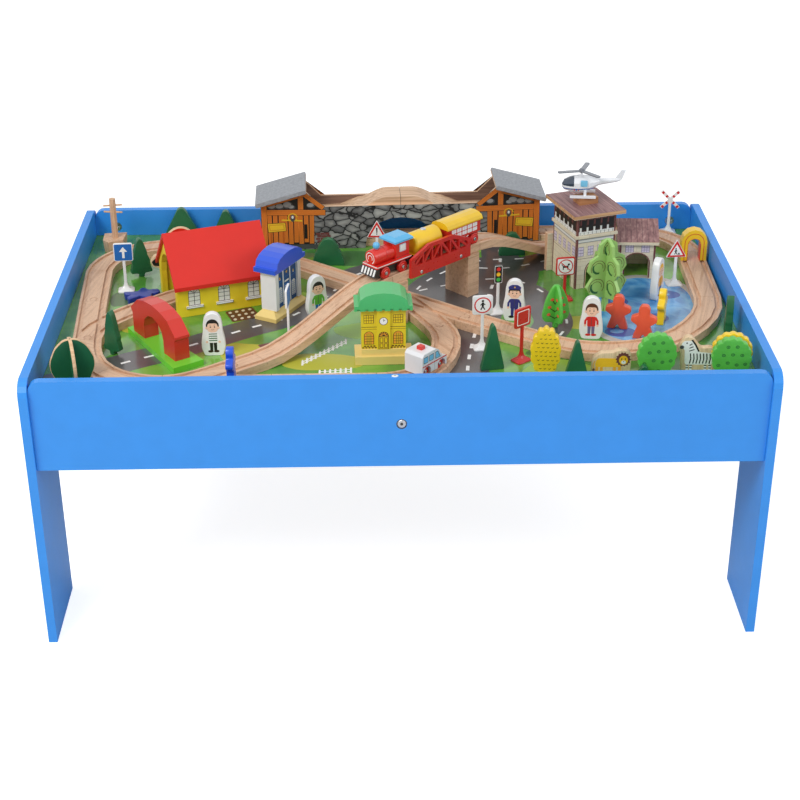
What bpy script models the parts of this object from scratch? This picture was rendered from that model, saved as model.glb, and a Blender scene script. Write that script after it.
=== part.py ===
# Children's activity table with a tray top and a wooden railway play set.
# Metres, +Z up. Origin on the floor under the middle of the table, X along its length.
import math

import bmesh
import bpy
from mathutils import Matrix, Vector
from mathutils.geometry import intersect_line_line_2d

for leftover in list(bpy.data.objects):
    bpy.data.objects.remove(leftover, do_unlink=True)

# Clearances
SEAT = 0.0003
WOOD_GAP = 0.0003
JOINT_GAP = 0.0008

# Table carcass
LENGTH = 0.980
DEPTH = 0.620
HEIGHT = 0.402
BOARD = 0.012
LEG_DEPTH = 0.132
LEG_ARCH_TOP = 0.272
LEG_ARCH_RADIUS = 0.030
END_CORNER = 0.020
RAIL_HEIGHT = 0.130
RAIL_CORNER = 0.014
RAIL_SETBACK = 0.006
TRAY_DEPTH = 0.043
PLAYBOARD = 0.005
SHEET = 0.0006
GROOVE = 0.006
CENTRE_RAIL_HEIGHT = 0.038
CENTRE_RAIL_WIDTH = 0.018

# Knock-down fittings
CAM_INSET = 0.034
CAM_RADIUS = 0.0072
CAM_HEIGHT = 0.0090
CAM_FACE = 0.0022
CAM_CROSS = 0.0011
CAM_FROM_TOP = 0.028
STUD_RADIUS = 0.0034
STUD_NECK = 0.0022
STUD_COLLAR = 0.0042
STUD_THREAD = 0.0095
DOWEL_RADIUS = 0.0040
DOWEL_LENGTH = 0.030
DOWEL_IN_END = 0.0100
DOWEL_DROP = 0.022
DOWEL_FROM_BOTTOM = 0.020
BOLT_RADIUS = 0.0030
BOLT_HEAD_RADIUS = 0.0062
BOLT_HEAD = 0.0020
BOLT_LENGTH = 0.050
NUT_RADIUS = 0.0050
NUT_LENGTH = 0.0140
NUT_INSET = 0.026
HOLE_GAP = 0.0004

# Wooden track
TRACK_WIDTH = 0.040
TRACK_THICK = 0.012
RUT_WIDTH = 0.0066
RUT_DEPTH = 0.0030
RUT_CENTRE = 0.0130
PEG_NECK = 0.0060
PEG_REACH = 0.0115
PEG_RADIUS = 0.0052
PEG_GAP = 0.0007
TURN_PER_STEP = 11
SWITCH_STEPS = 5
SEAM_DEPTH = 0.0045
SEAM_WIDTH = 0.0006
PIER_HEIGHT = 0.066
RAMP_STEPS = 8

# Rolling stock
WHEEL_RADIUS = 0.0090
WHEEL_WIDTH = 0.0046
AXLE_RADIUS = 0.0018
BEARING_GAP = 0.0005
CHASSIS_WIDTH = 0.0205
CHASSIS_FLOOR = 0.0035
CHASSIS_TOP = 0.0165

TRAY_TOP = HEIGHT - TRAY_DEPTH
SHEET_TOP = TRAY_TOP + SEAT + SHEET
GROUND = SHEET_TOP + SEAT
END_INNER = LENGTH / 2 - BOARD
RAIL_OUTER = DEPTH / 2 - RAIL_SETBACK
RAIL_INNER = RAIL_OUTER - BOARD
RAIL_MIDDLE = RAIL_OUTER - BOARD / 2
RAIL_BOTTOM = HEIGHT - RAIL_HEIGHT
CAM_LEVEL = HEIGHT - CAM_FROM_TOP
DOWEL_LEVELS = (RAIL_BOTTOM + DOWEL_FROM_BOTTOM, TRAY_TOP - DOWEL_DROP)
BOLT_LEVEL = TRAY_TOP - PLAYBOARD - WOOD_GAP - CENTRE_RAIL_HEIGHT / 2
TRACK_TOP = GROUND + TRACK_THICK
DECK_FOOT = GROUND + PIER_HEIGHT + SEAT
DECK_TOP = DECK_FOOT + TRACK_THICK


def finish(name, colour, roughness, metallic=0.0):
    """One plain material."""
    material = bpy.data.materials.new(name)
    material.use_nodes = True
    shader = material.node_tree.nodes["Principled BSDF"]
    shader.inputs["Base Color"].default_value = (*colour, 1.0)
    shader.inputs["Roughness"].default_value = roughness
    shader.inputs["Metallic"].default_value = metallic
    return material


BLUE_PAINT = finish("blue_paint", (0.06, 0.32, 0.80), 0.45)
PRINTED_MAT = finish("printed_mat", (0.25, 0.50, 0.12), 0.35)
BEECH = finish("beech", (0.74, 0.53, 0.36), 0.55)
ZINC = finish("zinc", (0.70, 0.70, 0.72), 0.35, 1.0)
RED_PAINT = finish("red_paint", (0.80, 0.05, 0.04), 0.40)
YELLOW_PAINT = finish("yellow_paint", (0.90, 0.70, 0.03), 0.40)
COBALT_PAINT = finish("cobalt_paint", (0.03, 0.12, 0.70), 0.40)
SKY_PAINT = finish("sky_paint", (0.15, 0.50, 0.85), 0.40)
LEAF_PAINT = finish("leaf_paint", (0.25, 0.62, 0.10), 0.45)
WHITE_PAINT = finish("white_paint", (0.85, 0.85, 0.85), 0.40)
WHITE_PLASTIC = finish("white_plastic", (0.85, 0.86, 0.88), 0.30)
GREY_PAINT = finish("grey_paint", (0.30, 0.31, 0.34), 0.50)
PRINTED_BOARD = finish("printed_board", (0.66, 0.42, 0.20), 0.50)
STONE_BOARD = finish("stone_board", (0.62, 0.58, 0.48), 0.50)


def closed(points, faces):
    """A mesh from points and faces, with every face turned outwards."""
    mesh = bpy.data.meshes.new("shape")
    mesh.from_pydata([tuple(point) for point in points], [], faces)
    work = bmesh.new()
    work.from_mesh(mesh)
    bmesh.ops.recalc_face_normals(work, faces=work.faces)
    work.to_mesh(mesh)
    work.free()
    return mesh


def lofted(rings):
    """Rings of equal length joined one to the next, with a flat face on both ends."""
    count = len(rings[0])
    points = [point for ring in rings for point in ring]
    faces = [tuple(range(count)), tuple(range(len(points) - count, len(points)))]
    for level in range(len(rings) - 1):
        low = level * count
        for here in range(count):
            there = (here + 1) % count
            faces.append((low + here, low + there, low + count + there, low + count + here))
    return closed(points, faces)


def prism(outline, low, high, axis="Z"):
    """An outline carried straight along an axis, from low to high."""
    spread = {
        "X": lambda u, v, w: (w, u, v),
        "Y": lambda u, v, w: (u, w, v),
        "Z": lambda u, v, w: (u, v, w),
    }[axis]
    return lofted([[spread(u, v, w) for u, v in outline] for w in (low, high)])


def box(x0, x1, y0, y1, z0, z1):
    return prism([(x0, y0), (x1, y0), (x1, y1), (x0, y1)], z0, z1)


def rounded(corners, steps=4):
    """An outline with some corners turned on a radius. A corner is u, v and the radius."""
    outline = []
    for index, (u, v, radius) in enumerate(corners):
        corner = Vector((u, v))
        if radius <= 0:
            outline.append((u, v))
            continue
        before = (Vector(corners[index - 1][:2]) - corner).normalized()
        after = (Vector(corners[(index + 1) % len(corners)][:2]) - corner).normalized()
        half = before.angle(after) / 2
        centre = corner + (before + after).normalized() * radius / math.sin(half)
        first = corner + before * radius / math.tan(half) - centre
        last = corner + after * radius / math.tan(half) - centre
        start = math.atan2(first.y, first.x)
        sweep = -first.angle_signed(last)
        for step in range(steps + 1):
            turn = start + sweep * step / steps
            outline.append((centre.x + radius * math.cos(turn), centre.y + radius * math.sin(turn)))
    return outline


def block(x0, x1, z0, z1, radius, low, high, axis="Y", steps=3):
    """A board with four rounded corners, seen square on, and its thickness from low to high."""
    corners = [(x0, z0, radius), (x1, z0, radius), (x1, z1, radius), (x0, z1, radius)]
    return prism(rounded(corners, steps), low, high, axis)


def circle(radius, sides, u=0.0, v=0.0):
    turns = [2 * math.pi * (side + 0.5) / sides for side in range(sides)]
    return [(u + radius * math.cos(turn), v + radius * math.sin(turn)) for turn in turns]


def arch(half_width, spring, rise, steps=8, foot=0.0):
    """An arched doorway outline: straight sides up to spring, then a half ellipse."""
    outline = [(half_width, foot)]
    for step in range(steps + 1):
        turn = math.pi * step / steps
        outline.append((half_width * math.cos(turn), spring + rise * math.sin(turn)))
    outline.append((-half_width, foot))
    return outline


def turned(profile, sides, axis="Z"):
    """A profile of radius and height turned round an axis. Its two ends are flat."""
    spread = {
        "X": lambda a, b, h: (h, a, b),
        "Y": lambda a, b, h: (a, h, b),
        "Z": lambda a, b, h: (a, b, h),
    }[axis]
    rings = []
    for radius, height in profile:
        rings.append([spread(a, b, height) for a, b in circle(radius, sides)])
    return lofted(rings)


def moved(mesh, x=0.0, y=0.0, z=0.0, heading=0.0, lean=None):
    """A copy of a mesh, tipped, then turned about Z, then moved."""
    copy = mesh.copy()
    place = Matrix.Translation((x, y, z)) @ Matrix.Rotation(math.radians(heading), 4, "Z")
    if lean:
        place = place @ Matrix.Rotation(math.radians(lean[0]), 4, lean[1])
    copy.transform(place)
    return copy


def stand_at(mesh, spot, level=GROUND):
    """Stands a shape at (x, y, heading) on a level."""
    return moved(mesh, x=spot[0], y=spot[1], z=level, heading=spot[2])


def work_object(mesh):
    item = bpy.data.objects.new("work", mesh)
    bpy.context.scene.collection.objects.link(item)
    return item


def combined(mesh, tools, operation):
    """A mesh after a Boolean with each tool in turn."""
    body = work_object(mesh)
    helpers = []
    for tool in tools:
        helper = work_object(tool)
        step = body.modifiers.new("step", "BOOLEAN")
        step.operation = operation
        step.solver = "EXACT"
        step.object = helper
        helpers.append(helper)
    graph = bpy.context.evaluated_depsgraph_get()
    result = bpy.data.meshes.new_from_object(body.evaluated_get(graph))
    for item in helpers + [body]:
        bpy.data.objects.remove(item, do_unlink=True)
    return result


def cut(mesh, *tools):
    return combined(mesh, tools, "DIFFERENCE")


def fused(mesh, *others):
    return combined(mesh, others, "UNION")


def place(name, x, y, z, heading=0.0):
    """An empty that carries a toy: its origin, its heading and all its pieces."""
    empty = bpy.data.objects.new(name, None)
    bpy.context.scene.collection.objects.link(empty)
    empty.location = (x, y, z)
    empty.rotation_euler = (0.0, 0.0, math.radians(heading))
    return empty


def add_part(name, shape, material, parent=None, location=(0.0, 0.0, 0.0), smooth=False):
    """One named piece from one closed shape. Its origin is at the location given."""
    mesh = shape.copy()
    mesh.transform(Matrix.Translation(-Vector(location)))
    mesh.name = name
    if smooth:
        mesh.shade_smooth()
        mesh.set_sharp_from_angle(angle=math.radians(35))
    mesh.materials.clear()
    mesh.materials.append(material)
    piece = bpy.data.objects.new(name, mesh)
    bpy.context.scene.collection.objects.link(piece)
    piece.parent = parent
    piece.location = location
    return piece


def mirror(shape, axis):
    """The same shape on the other side of the middle."""
    copy = shape.copy()
    copy.transform(Matrix.Scale(-1.0, 4, axis))
    copy.flip_normals()
    return copy


def mirrored(shapes, axis):
    return [mirror(shape, axis) for shape in shapes]


# Table carcass and its fittings

LEFT = Vector((1.0, 0.0, 0.0))
BACK = Vector((0.0, 1.0, 0.0))


def slot_for_board(x_reach, y_reach):
    """The groove that the playboard slides in, as a box a little larger than the board."""
    low = TRAY_TOP - PLAYBOARD - WOOD_GAP
    return box(-x_reach, x_reach, -y_reach, y_reach, low, TRAY_TOP + WOOD_GAP)


def right_end_panel():
    half = DEPTH / 2
    outline = rounded([
        (-half, 0, 0),
        (-half + LEG_DEPTH, 0, 0),
        (-half + LEG_DEPTH, LEG_ARCH_TOP, LEG_ARCH_RADIUS),
        (half - LEG_DEPTH, LEG_ARCH_TOP, LEG_ARCH_RADIUS),
        (half - LEG_DEPTH, 0, 0),
        (half, 0, 0),
        (half, HEIGHT, END_CORNER),
        (-half, HEIGHT, END_CORNER),
    ])
    panel = prism(outline, END_INNER, LENGTH / 2, "X")
    panel = cut(panel, slot_for_board(END_INNER + GROOVE, RAIL_INNER + GROOVE + WOOD_GAP))
    dowel_start = END_INNER + DOWEL_IN_END - DOWEL_LENGTH
    for side in (-RAIL_MIDDLE, RAIL_MIDDLE):
        stud = moved(cam_stud(), x=END_INNER - CAM_INSET, y=side, z=CAM_LEVEL)
        pins = [moved(dowel(), x=dowel_start, y=side, z=level) for level in DOWEL_LEVELS]
        panel = fused(panel, stud, *pins)
    return panel


def front_panel():
    reach = END_INNER - WOOD_GAP
    outline = rounded([
        (-reach, RAIL_BOTTOM, 0),
        (reach, RAIL_BOTTOM, 0),
        (reach, HEIGHT, RAIL_CORNER),
        (-reach, HEIGHT, RAIL_CORNER),
    ])
    panel = prism(outline, -RAIL_OUTER, -RAIL_INNER, "Y")
    cam_floor = -RAIL_INNER - CAM_HEIGHT - HOLE_GAP
    cam_hole = prism(circle(CAM_RADIUS + HOLE_GAP, 10), cam_floor, -RAIL_INNER + BOARD, "Y")
    stud_bore = prism(circle(STUD_COLLAR, 6), END_INNER - CAM_INSET, END_INNER + BOARD, "X")
    dowel_bottom = END_INNER + DOWEL_IN_END - DOWEL_LENGTH - HOLE_GAP
    dowel_hole = prism(circle(DOWEL_RADIUS + HOLE_GAP, 6), dowel_bottom, END_INNER + BOARD, "X")
    holes = [slot_for_board(LENGTH, RAIL_INNER + GROOVE)]
    pair = [
        moved(cam_hole, x=END_INNER - CAM_INSET, z=CAM_LEVEL),
        moved(stud_bore, y=-RAIL_MIDDLE, z=CAM_LEVEL),
    ]
    holes += pair + mirrored(pair, LEFT)
    for level in DOWEL_LEVELS:
        right = moved(dowel_hole, y=-RAIL_MIDDLE, z=level)
        holes += [right] + mirrored([right], LEFT)
    bolt_hole = prism(circle(BOLT_RADIUS + HOLE_GAP, 8), -DEPTH, 0, "Y")
    head_hole = prism(circle(BOLT_HEAD_RADIUS + HOLE_GAP, 10), -DEPTH, -RAIL_OUTER + BOLT_HEAD + SEAT, "Y")
    holes += [moved(bolt_hole, z=BOLT_LEVEL), moved(head_hole, z=BOLT_LEVEL)]
    return cut(panel, *holes)


def cam_lock():
    """A cam with a slot for the stud's head and a cross in its face. The face looks along +Y."""
    body = prism(circle(CAM_RADIUS, 10), -CAM_HEIGHT, 0, "Y")
    slot = box(-0.0036, 2 * CAM_RADIUS, -2 * CAM_HEIGHT, -CAM_FACE, -0.0038, 0.0038)
    bar = box(-0.0045, 0.0045, -CAM_CROSS, CAM_HEIGHT, -0.0008, 0.0008)
    return cut(body, slot, bar, moved(bar, lean=(90, "Y")))


def cam_stud():
    """A threaded stud with a collar, a neck and a head, along +X from the head outwards."""
    end = CAM_INSET + STUD_THREAD
    profile = [
        (0.0020, -0.0026),
        (0.0031, -0.0016),
        (0.0031, 0.0014),
        (STUD_NECK, 0.0022),
        (STUD_NECK, CAM_INSET - 0.0080),
        (STUD_RADIUS, CAM_INSET - 0.0072),
        (STUD_RADIUS, end - 0.0020),
        (0.0018, end),
    ]
    return turned(profile, 6, "X")


def dowel():
    profile = [
        (DOWEL_RADIUS * 0.7, 0),
        (DOWEL_RADIUS, 0.0014),
        (DOWEL_RADIUS, DOWEL_LENGTH - 0.0014),
        (DOWEL_RADIUS * 0.7, DOWEL_LENGTH),
    ]
    return turned(profile, 6, "X")


def centre_bolt():
    """A socket head bolt, along +Y from the face of its head."""
    profile = [
        (BOLT_HEAD_RADIUS - 0.0008, 0),
        (BOLT_HEAD_RADIUS, 0.0006),
        (BOLT_HEAD_RADIUS, BOLT_HEAD),
        (BOLT_RADIUS, BOLT_HEAD),
        (BOLT_RADIUS, BOLT_LENGTH),
    ]
    key = prism(circle(0.0024, 6), -BOLT_HEAD, BOLT_HEAD * 0.8, "Y")
    return cut(turned(profile, 10, "Y"), key)


def build_table():
    carcass = place("table", 0, 0, 0)
    right = right_end_panel()
    add_part("right_end_panel", right, BLUE_PAINT, carcass)
    add_part("left_end_panel", mirror(right, LEFT), BLUE_PAINT, carcass)
    front = front_panel()
    add_part("front_panel", front, BLUE_PAINT, carcass)
    add_part("back_panel", mirror(front, BACK), BLUE_PAINT, carcass)
    x_reach = END_INNER + GROOVE - WOOD_GAP
    y_reach = RAIL_INNER + GROOVE - WOOD_GAP
    board = box(-x_reach, x_reach, -y_reach, y_reach, TRAY_TOP - PLAYBOARD, TRAY_TOP)
    add_part("playboard", board, PRINTED_MAT, carcass)

    rail_top = TRAY_TOP - PLAYBOARD - WOOD_GAP
    rail_end = RAIL_INNER - WOOD_GAP
    half = CENTRE_RAIL_WIDTH / 2
    rail = box(-half, half, -rail_end, rail_end, rail_top - CENTRE_RAIL_HEIGHT, rail_top)
    bore_end = -RAIL_OUTER + BOLT_LENGTH + NUT_RADIUS
    bore = moved(prism(circle(BOLT_RADIUS + HOLE_GAP, 8), -DEPTH, bore_end, "Y"), z=BOLT_LEVEL)
    nut_place = -RAIL_INNER + NUT_INSET
    nut_hole = prism(circle(NUT_RADIUS + HOLE_GAP, 10), -BOARD, BOARD, "X")
    nut_hole = moved(nut_hole, y=nut_place, z=BOLT_LEVEL)
    ends = [bore, nut_hole]
    add_part("centre_rail", cut(rail, *ends, *mirrored(ends, BACK)), BLUE_PAINT, carcass)
    bolt = moved(centre_bolt(), y=-RAIL_OUTER, z=BOLT_LEVEL)
    nut = prism(circle(NUT_RADIUS, 10), -NUT_LENGTH / 2, NUT_LENGTH / 2, "X")
    bolt = fused(bolt, moved(nut, y=nut_place, z=BOLT_LEVEL))
    add_part("front_centre_bolt", bolt, ZINC, carcass)
    add_part("back_centre_bolt", mirror(bolt, BACK), ZINC, carcass)

    cam = moved(cam_lock(), x=END_INNER - CAM_INSET, y=-RAIL_INNER, z=CAM_LEVEL)
    other = mirror(cam, LEFT)
    add_part("front_right_cam_lock", cam, ZINC, carcass)
    add_part("front_left_cam_lock", other, ZINC, carcass)
    add_part("back_right_cam_lock", mirror(cam, BACK), ZINC, carcass)
    add_part("back_left_cam_lock", mirror(other, BACK), ZINC, carcass)


# Wooden railway track

SOCKET = -1
PEG = 1


def section(half=TRACK_WIDTH / 2, thick=TRACK_THICK):
    """Half of a track's cross-section, mirrored: two ruts for the wheels in its top."""
    inner = RUT_CENTRE - RUT_WIDTH / 2
    outer = RUT_CENTRE + RUT_WIDTH / 2
    floor = thick - RUT_DEPTH
    right = [(half, 0), (half, thick), (outer, thick), (outer, floor), (inner, floor), (inner, thick)]
    return right + [(-u, v) for u, v in reversed(right)]


def route(start, end, steps, lift=lambda t: 0.0):
    """Points of a smooth track centre line. A place is x, y and a heading in degrees."""
    aim = [Vector((math.cos(math.radians(p[2])), math.sin(math.radians(p[2])))) for p in (start, end)]
    first = Vector(start[:2])
    last = Vector(end[:2])
    turn = math.radians(abs((end[2] - start[2] + 180) % 360 - 180))
    reach = (last - first).length
    arm = reach / 3 if turn < 0.02 else reach * (2 / 3) * math.tan(turn / 4) / math.sin(turn / 2)
    trim = JOINT_GAP / 2
    bend = (first, first + aim[0] * arm, last - aim[1] * arm, last)
    line = []
    for step in range(steps + 1):
        t = step / steps
        s = 1 - t
        spot = bend[0] * s**3 + bend[1] * 3 * s * s * t + bend[2] * 3 * s * t * t + bend[3] * t**3
        way = (bend[1] - bend[0]) * s * s + (bend[2] - bend[1]) * 2 * s * t + (bend[3] - bend[2]) * t * t
        way = way.normalized()
        if step == 0:
            spot = spot + way * trim
        if step == steps:
            spot = spot - way * trim
        line.append((spot.x, spot.y, lift(t), way))
    return line


def stretched(line, extra):
    """The same line with both ends carried on straight."""
    x, y, z, way = line[0]
    front = (x - way.x * extra, y - way.y * extra, z, way)
    x, y, z, way = line[-1]
    return [front] + line[1:-1] + [(x + way.x * extra, y + way.y * extra, z, way)]


def swept(line, outline):
    """A cross-section carried along a line, always upright."""
    rings = []
    for x, y, z, way in line:
        rings.append([(x + way.y * u, y - way.x * u, z + v) for u, v in outline])
    return lofted(rings)


def peg_outline(grow=0.0):
    """The outline of a joining peg: a neck and a round head, in plan along +X."""
    neck = PEG_NECK / 2 + grow
    radius = PEG_RADIUS + grow
    start = math.asin(neck / radius)
    outline = [(-PEG_REACH if grow else -SEAT, -neck)]
    centre = PEG_REACH - PEG_RADIUS
    for step in range(6):
        turn = -math.pi + start + step * (2 * math.pi - 2 * start) / 5
        outline.append((centre + radius * math.cos(turn), radius * math.sin(turn)))
    outline.append((outline[0][0], neck))
    return outline


def with_end(track, line_end, outwards, kind):
    """A track with a peg or a socket added at one end."""
    x, y, z, way = line_end
    heading = math.degrees(math.atan2(way.y, way.x)) + (0 if outwards else 180)
    if kind == PEG:
        peg = prism(peg_outline(), z, z + TRACK_THICK)
        return fused(track, moved(peg, x, y, 0, heading))
    if kind == SOCKET:
        socket = prism(peg_outline(PEG_GAP), z - TRACK_THICK, z + 2 * TRACK_THICK)
        return cut(track, moved(socket, x, y, 0, heading + 180))
    return track


def steps_between(start, end):
    turn = abs((end[2] - start[2] + 180) % 360 - 180)
    return max(1, math.ceil(turn / TURN_PER_STEP))


def run(stops, tail=SOCKET, head=PEG, lifts=None):
    """A run of track through its stops, with a seam across the top at each inner one."""
    line = []
    for index, (start, end) in enumerate(zip(stops, stops[1:])):
        lift = lifts[index] if lifts else (lambda t: GROUND)
        steps = RAMP_STEPS if lift(0) != lift(1) else steps_between(start, end)
        line = line[:-1] + route(start, end, steps, lift)
    body = swept(line, section())
    for x, y, heading in stops[1:-1]:
        seam = box(-SEAM_WIDTH / 2, SEAM_WIDTH / 2, -TRACK_WIDTH, TRACK_WIDTH, -SEAM_DEPTH, TRACK_THICK)
        body = cut(body, moved(seam, x=x, y=y, z=TRACK_TOP, heading=heading))
    body = with_end(body, line[0], False, tail)
    return with_end(body, line[-1], True, head)


def edge(line, side):
    """One edge of a track in plan: the centre line moved sideways, right for a positive side."""
    shift = side * TRACK_WIDTH / 2
    return [Vector((x + way.y * shift, y - way.x * shift)) for x, y, _, way in line]


def meeting(first, second):
    """Where two edges cross, with the rest of each edge beyond that point."""
    for i in range(len(first) - 1, 0, -1):
        for j in range(len(second) - 1, 0, -1):
            point = intersect_line_line_2d(first[i - 1], first[i], second[j - 1], second[j])
            if point:
                return point, first[i:], second[j:]
    raise ValueError("the legs of a switch never part")


def switch(stock, main, branch, stock_end, main_end, branch_end):
    """Two tracks that share one end. A leg is listed from the stock end outwards."""
    legs = [route(stock, leg, SWITCH_STEPS) for leg in (main, branch)]
    tips = [Vector(leg[-1][:2]) - Vector(legs[0][0][:2]) for leg in legs]
    left, right = legs if tips[0].angle_signed(tips[1]) > 0 else legs[::-1]
    point, left_inside, right_inside = meeting(edge(left, 1), edge(right, -1))
    outline = edge(right, 1) + right_inside[::-1] + [point] + left_inside + edge(left, -1)[::-1]
    body = prism([tuple(corner) for corner in outline], 0, TRACK_THICK)
    floor = TRACK_THICK - RUT_DEPTH
    for leg in legs:
        for side in (-1, 1):
            middle = side * RUT_CENTRE
            low, high = middle - RUT_WIDTH / 2, middle + RUT_WIDTH / 2
            rut = [(high, floor), (high, 2 * TRACK_THICK), (low, 2 * TRACK_THICK), (low, floor)]
            body = cut(body, swept(stretched(leg, JOINT_GAP), rut))
    body = with_end(body, legs[0][0], False, stock_end)
    body = with_end(body, legs[0][-1], True, main_end)
    return with_end(body, legs[1][-1], True, branch_end)


# The layout: places of track ends as x, y and the heading of the line there

LEFT_SWITCH = (-0.431, -0.118, 94.4)
LEFT_MAIN = (-0.441, 0.010, 94.4)
SIDING_START = (-0.377, -0.0196, 45)
SIDING_END = (-0.205, 0.086, 12)
LEFT_CURVE = (-0.448, 0.120, 90)
LEFT_CURVE_MIDDLE = (-0.4205, 0.1892, 47)
LEFT_CURVE_END = (-0.3654, 0.2185, 10)
BACK_SWITCH = (-0.3054, 0.2291, 10)
MINE_WEST = (-0.213, 0.2470, 4)
DIAGONAL_START = (-0.2050, 0.1875, -39)
DIAGONAL_MIDDLE = (-0.1266, 0.1239, -39)
LOOP_SWITCH = (-0.020, 0.0371, -39)
DIAGONAL_LOW = (0.092, -0.0539, -39)
DIAGONAL_END = (0.190, -0.127, -36)
LOOP_START = (0.055, -0.081, -66)
LOOP_SIDE = (0.0640, -0.150, -99)
LOOP_LOW = (0.045, -0.208, -117)
LOOP_END = (-0.032, -0.250, 180)
FRONT_EAST = (-0.171, -0.250, 180)
FRONT_SWITCH = (-0.315, -0.249, 0)
FRONT_CURVE_MIDDLE = (-0.3956, -0.2156, -45)
FRONT_CURVE_START = (-0.431, -0.118, -85.6)
CLIMB_LINK = (-0.2280, -0.2063, 36.7)
CLIMB_FOOT = (-0.190, -0.178, 36.7)
DECK_WEST = (-0.021, -0.0519, 42.9)
DECK_EAST = (0.1085, 0.0680, 42.9)
DESCENT_FOOT = (0.2660, 0.2144, 42.9)
EAST_SWITCH = (0.366, 0.258, 0)
MINE_MIDDLE = (0.009, 0.2565, 2)
MINE_EAST = (0.231, 0.2620, 0)
CORNER_EAST = (0.2400, -0.1560, -20)
CORNER_LOW = (0.300, -0.163, 3)
CORNER_MIDDLE = (0.396, -0.118, 47)
RIGHT_STRAIGHT = (0.451, 0.000, 88)
RIGHT_CURVE = (0.455, 0.167, 91)
RIGHT_CURVE_MIDDLE = (0.4285, 0.2315, 135)


def opposite(spot):
    return (spot[0], spot[1], spot[2] + 180)


def climb(t):
    """The height of a ramp along its run: an even wave from the board to the deck."""
    return GROUND + (DECK_FOOT - GROUND) * t * t * (3 - 2 * t)


def descent(t):
    return climb(1 - t)


def build_track():
    way = place("railway", 0, 0, 0)
    deck = [lambda t: DECK_FOOT]
    for name, shape in (
        ("left_track", run([LEFT_MAIN, LEFT_CURVE, LEFT_CURVE_MIDDLE, LEFT_CURVE_END, BACK_SWITCH])),
        ("back_track", run([MINE_WEST, MINE_MIDDLE, MINE_EAST])),
        ("diagonal_track", run([DIAGONAL_START, DIAGONAL_MIDDLE, LOOP_SWITCH])),
        ("right_track", run([DIAGONAL_LOW, DIAGONAL_END, CORNER_EAST, CORNER_LOW, CORNER_MIDDLE,
                             RIGHT_STRAIGHT, RIGHT_CURVE, RIGHT_CURVE_MIDDLE, opposite(EAST_SWITCH)])),
        ("loop_track", run([LOOP_START, LOOP_SIDE, LOOP_LOW, LOOP_END, FRONT_EAST])),
        ("front_corner_track", run([FRONT_CURVE_START, FRONT_CURVE_MIDDLE, FRONT_SWITCH], PEG, SOCKET)),
        ("siding_track", run([SIDING_START, SIDING_END])),
        ("climb_track", run([CLIMB_LINK, CLIMB_FOOT, DECK_WEST], lifts=[lambda t: GROUND, climb])),
        ("bridge_deck", run([DECK_WEST, DECK_EAST], lifts=deck)),
        ("descent_track", run([DECK_EAST, DESCENT_FOOT], lifts=[descent])),
    ):
        add_part(name, shape, BEECH, way)
    for name, shape in (
        ("left_switch", switch(LEFT_SWITCH, LEFT_MAIN, SIDING_START, SOCKET, PEG, PEG)),
        ("back_switch", switch(BACK_SWITCH, MINE_WEST, DIAGONAL_START, SOCKET, PEG, PEG)),
        ("loop_switch", switch(LOOP_SWITCH, DIAGONAL_LOW, LOOP_START, SOCKET, PEG, PEG)),
        ("front_switch", switch(FRONT_SWITCH, opposite(FRONT_EAST), CLIMB_LINK, PEG, SOCKET, PEG)),
        ("east_switch", switch(opposite(EAST_SWITCH), opposite(MINE_EAST), opposite(DESCENT_FOOT),
                               SOCKET, SOCKET, SOCKET)),
    ):
        add_part(name, moved(shape, z=GROUND), BEECH, way)
    build_bridge()


# The bridge under the deck, in the deck's own frame: X along the deck from its west end

DECK_RUN = math.hypot(DECK_EAST[0] - DECK_WEST[0], DECK_EAST[1] - DECK_WEST[1])
PIER_WIDTH = 0.046
PIER_THICK = 0.023
PIER_INSET = 0.004
TRUSS_START = 0.032
TRUSS_LENGTH = 0.120
TRUSS_END = 0.028
TRUSS_CROWN = 0.043
TRUSS_THICK = 0.0045
TRUSS_FRAME = 0.0055
TRUSS_BAYS = 6


def truss():
    """One side of the bridge: a low arched plate with a zigzag of webs and two pins."""
    low, high = TRUSS_START, TRUSS_START + TRUSS_LENGTH
    flat = TRUSS_LENGTH * 0.30
    outline = [
        (low, 0),
        (high, 0),
        (high, TRUSS_END),
        (high - flat, TRUSS_CROWN),
        (low + flat, TRUSS_CROWN),
        (low, TRUSS_END),
    ]
    outer = TRACK_WIDTH / 2 + SEAT
    plate = prism(outline, outer, outer + TRUSS_THICK, "Y")

    def top(u):
        near = min(u - low, high - u, flat)
        return TRUSS_END + (TRUSS_CROWN - TRUSS_END) * near / flat - TRUSS_FRAME

    windows = []
    bay = (TRUSS_LENGTH - 2 * TRUSS_FRAME) / TRUSS_BAYS
    foot = TRACK_THICK + TRUSS_FRAME
    for index in range(TRUSS_BAYS):
        start = low + TRUSS_FRAME + index * bay + TRUSS_FRAME / 4
        stop = start + bay - TRUSS_FRAME / 2
        slim = TRUSS_FRAME * 0.45
        lower = [(start + slim, foot), (stop, foot), (stop, top(stop) - slim)]
        upper = [(start, foot + slim), (stop - slim, top(stop)), (start, top(start))]
        if index >= TRUSS_BAYS / 2:
            lower = [(stop - slim, foot), (start, foot), (start, top(start) - slim)]
            upper = [(stop, foot + slim), (start + slim, top(start)), (stop, top(stop))]
        windows += [prism(hole, outer - BOARD, outer + BOARD, "Y") for hole in (lower, upper)]
    return cut(plate, *windows)


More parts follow.
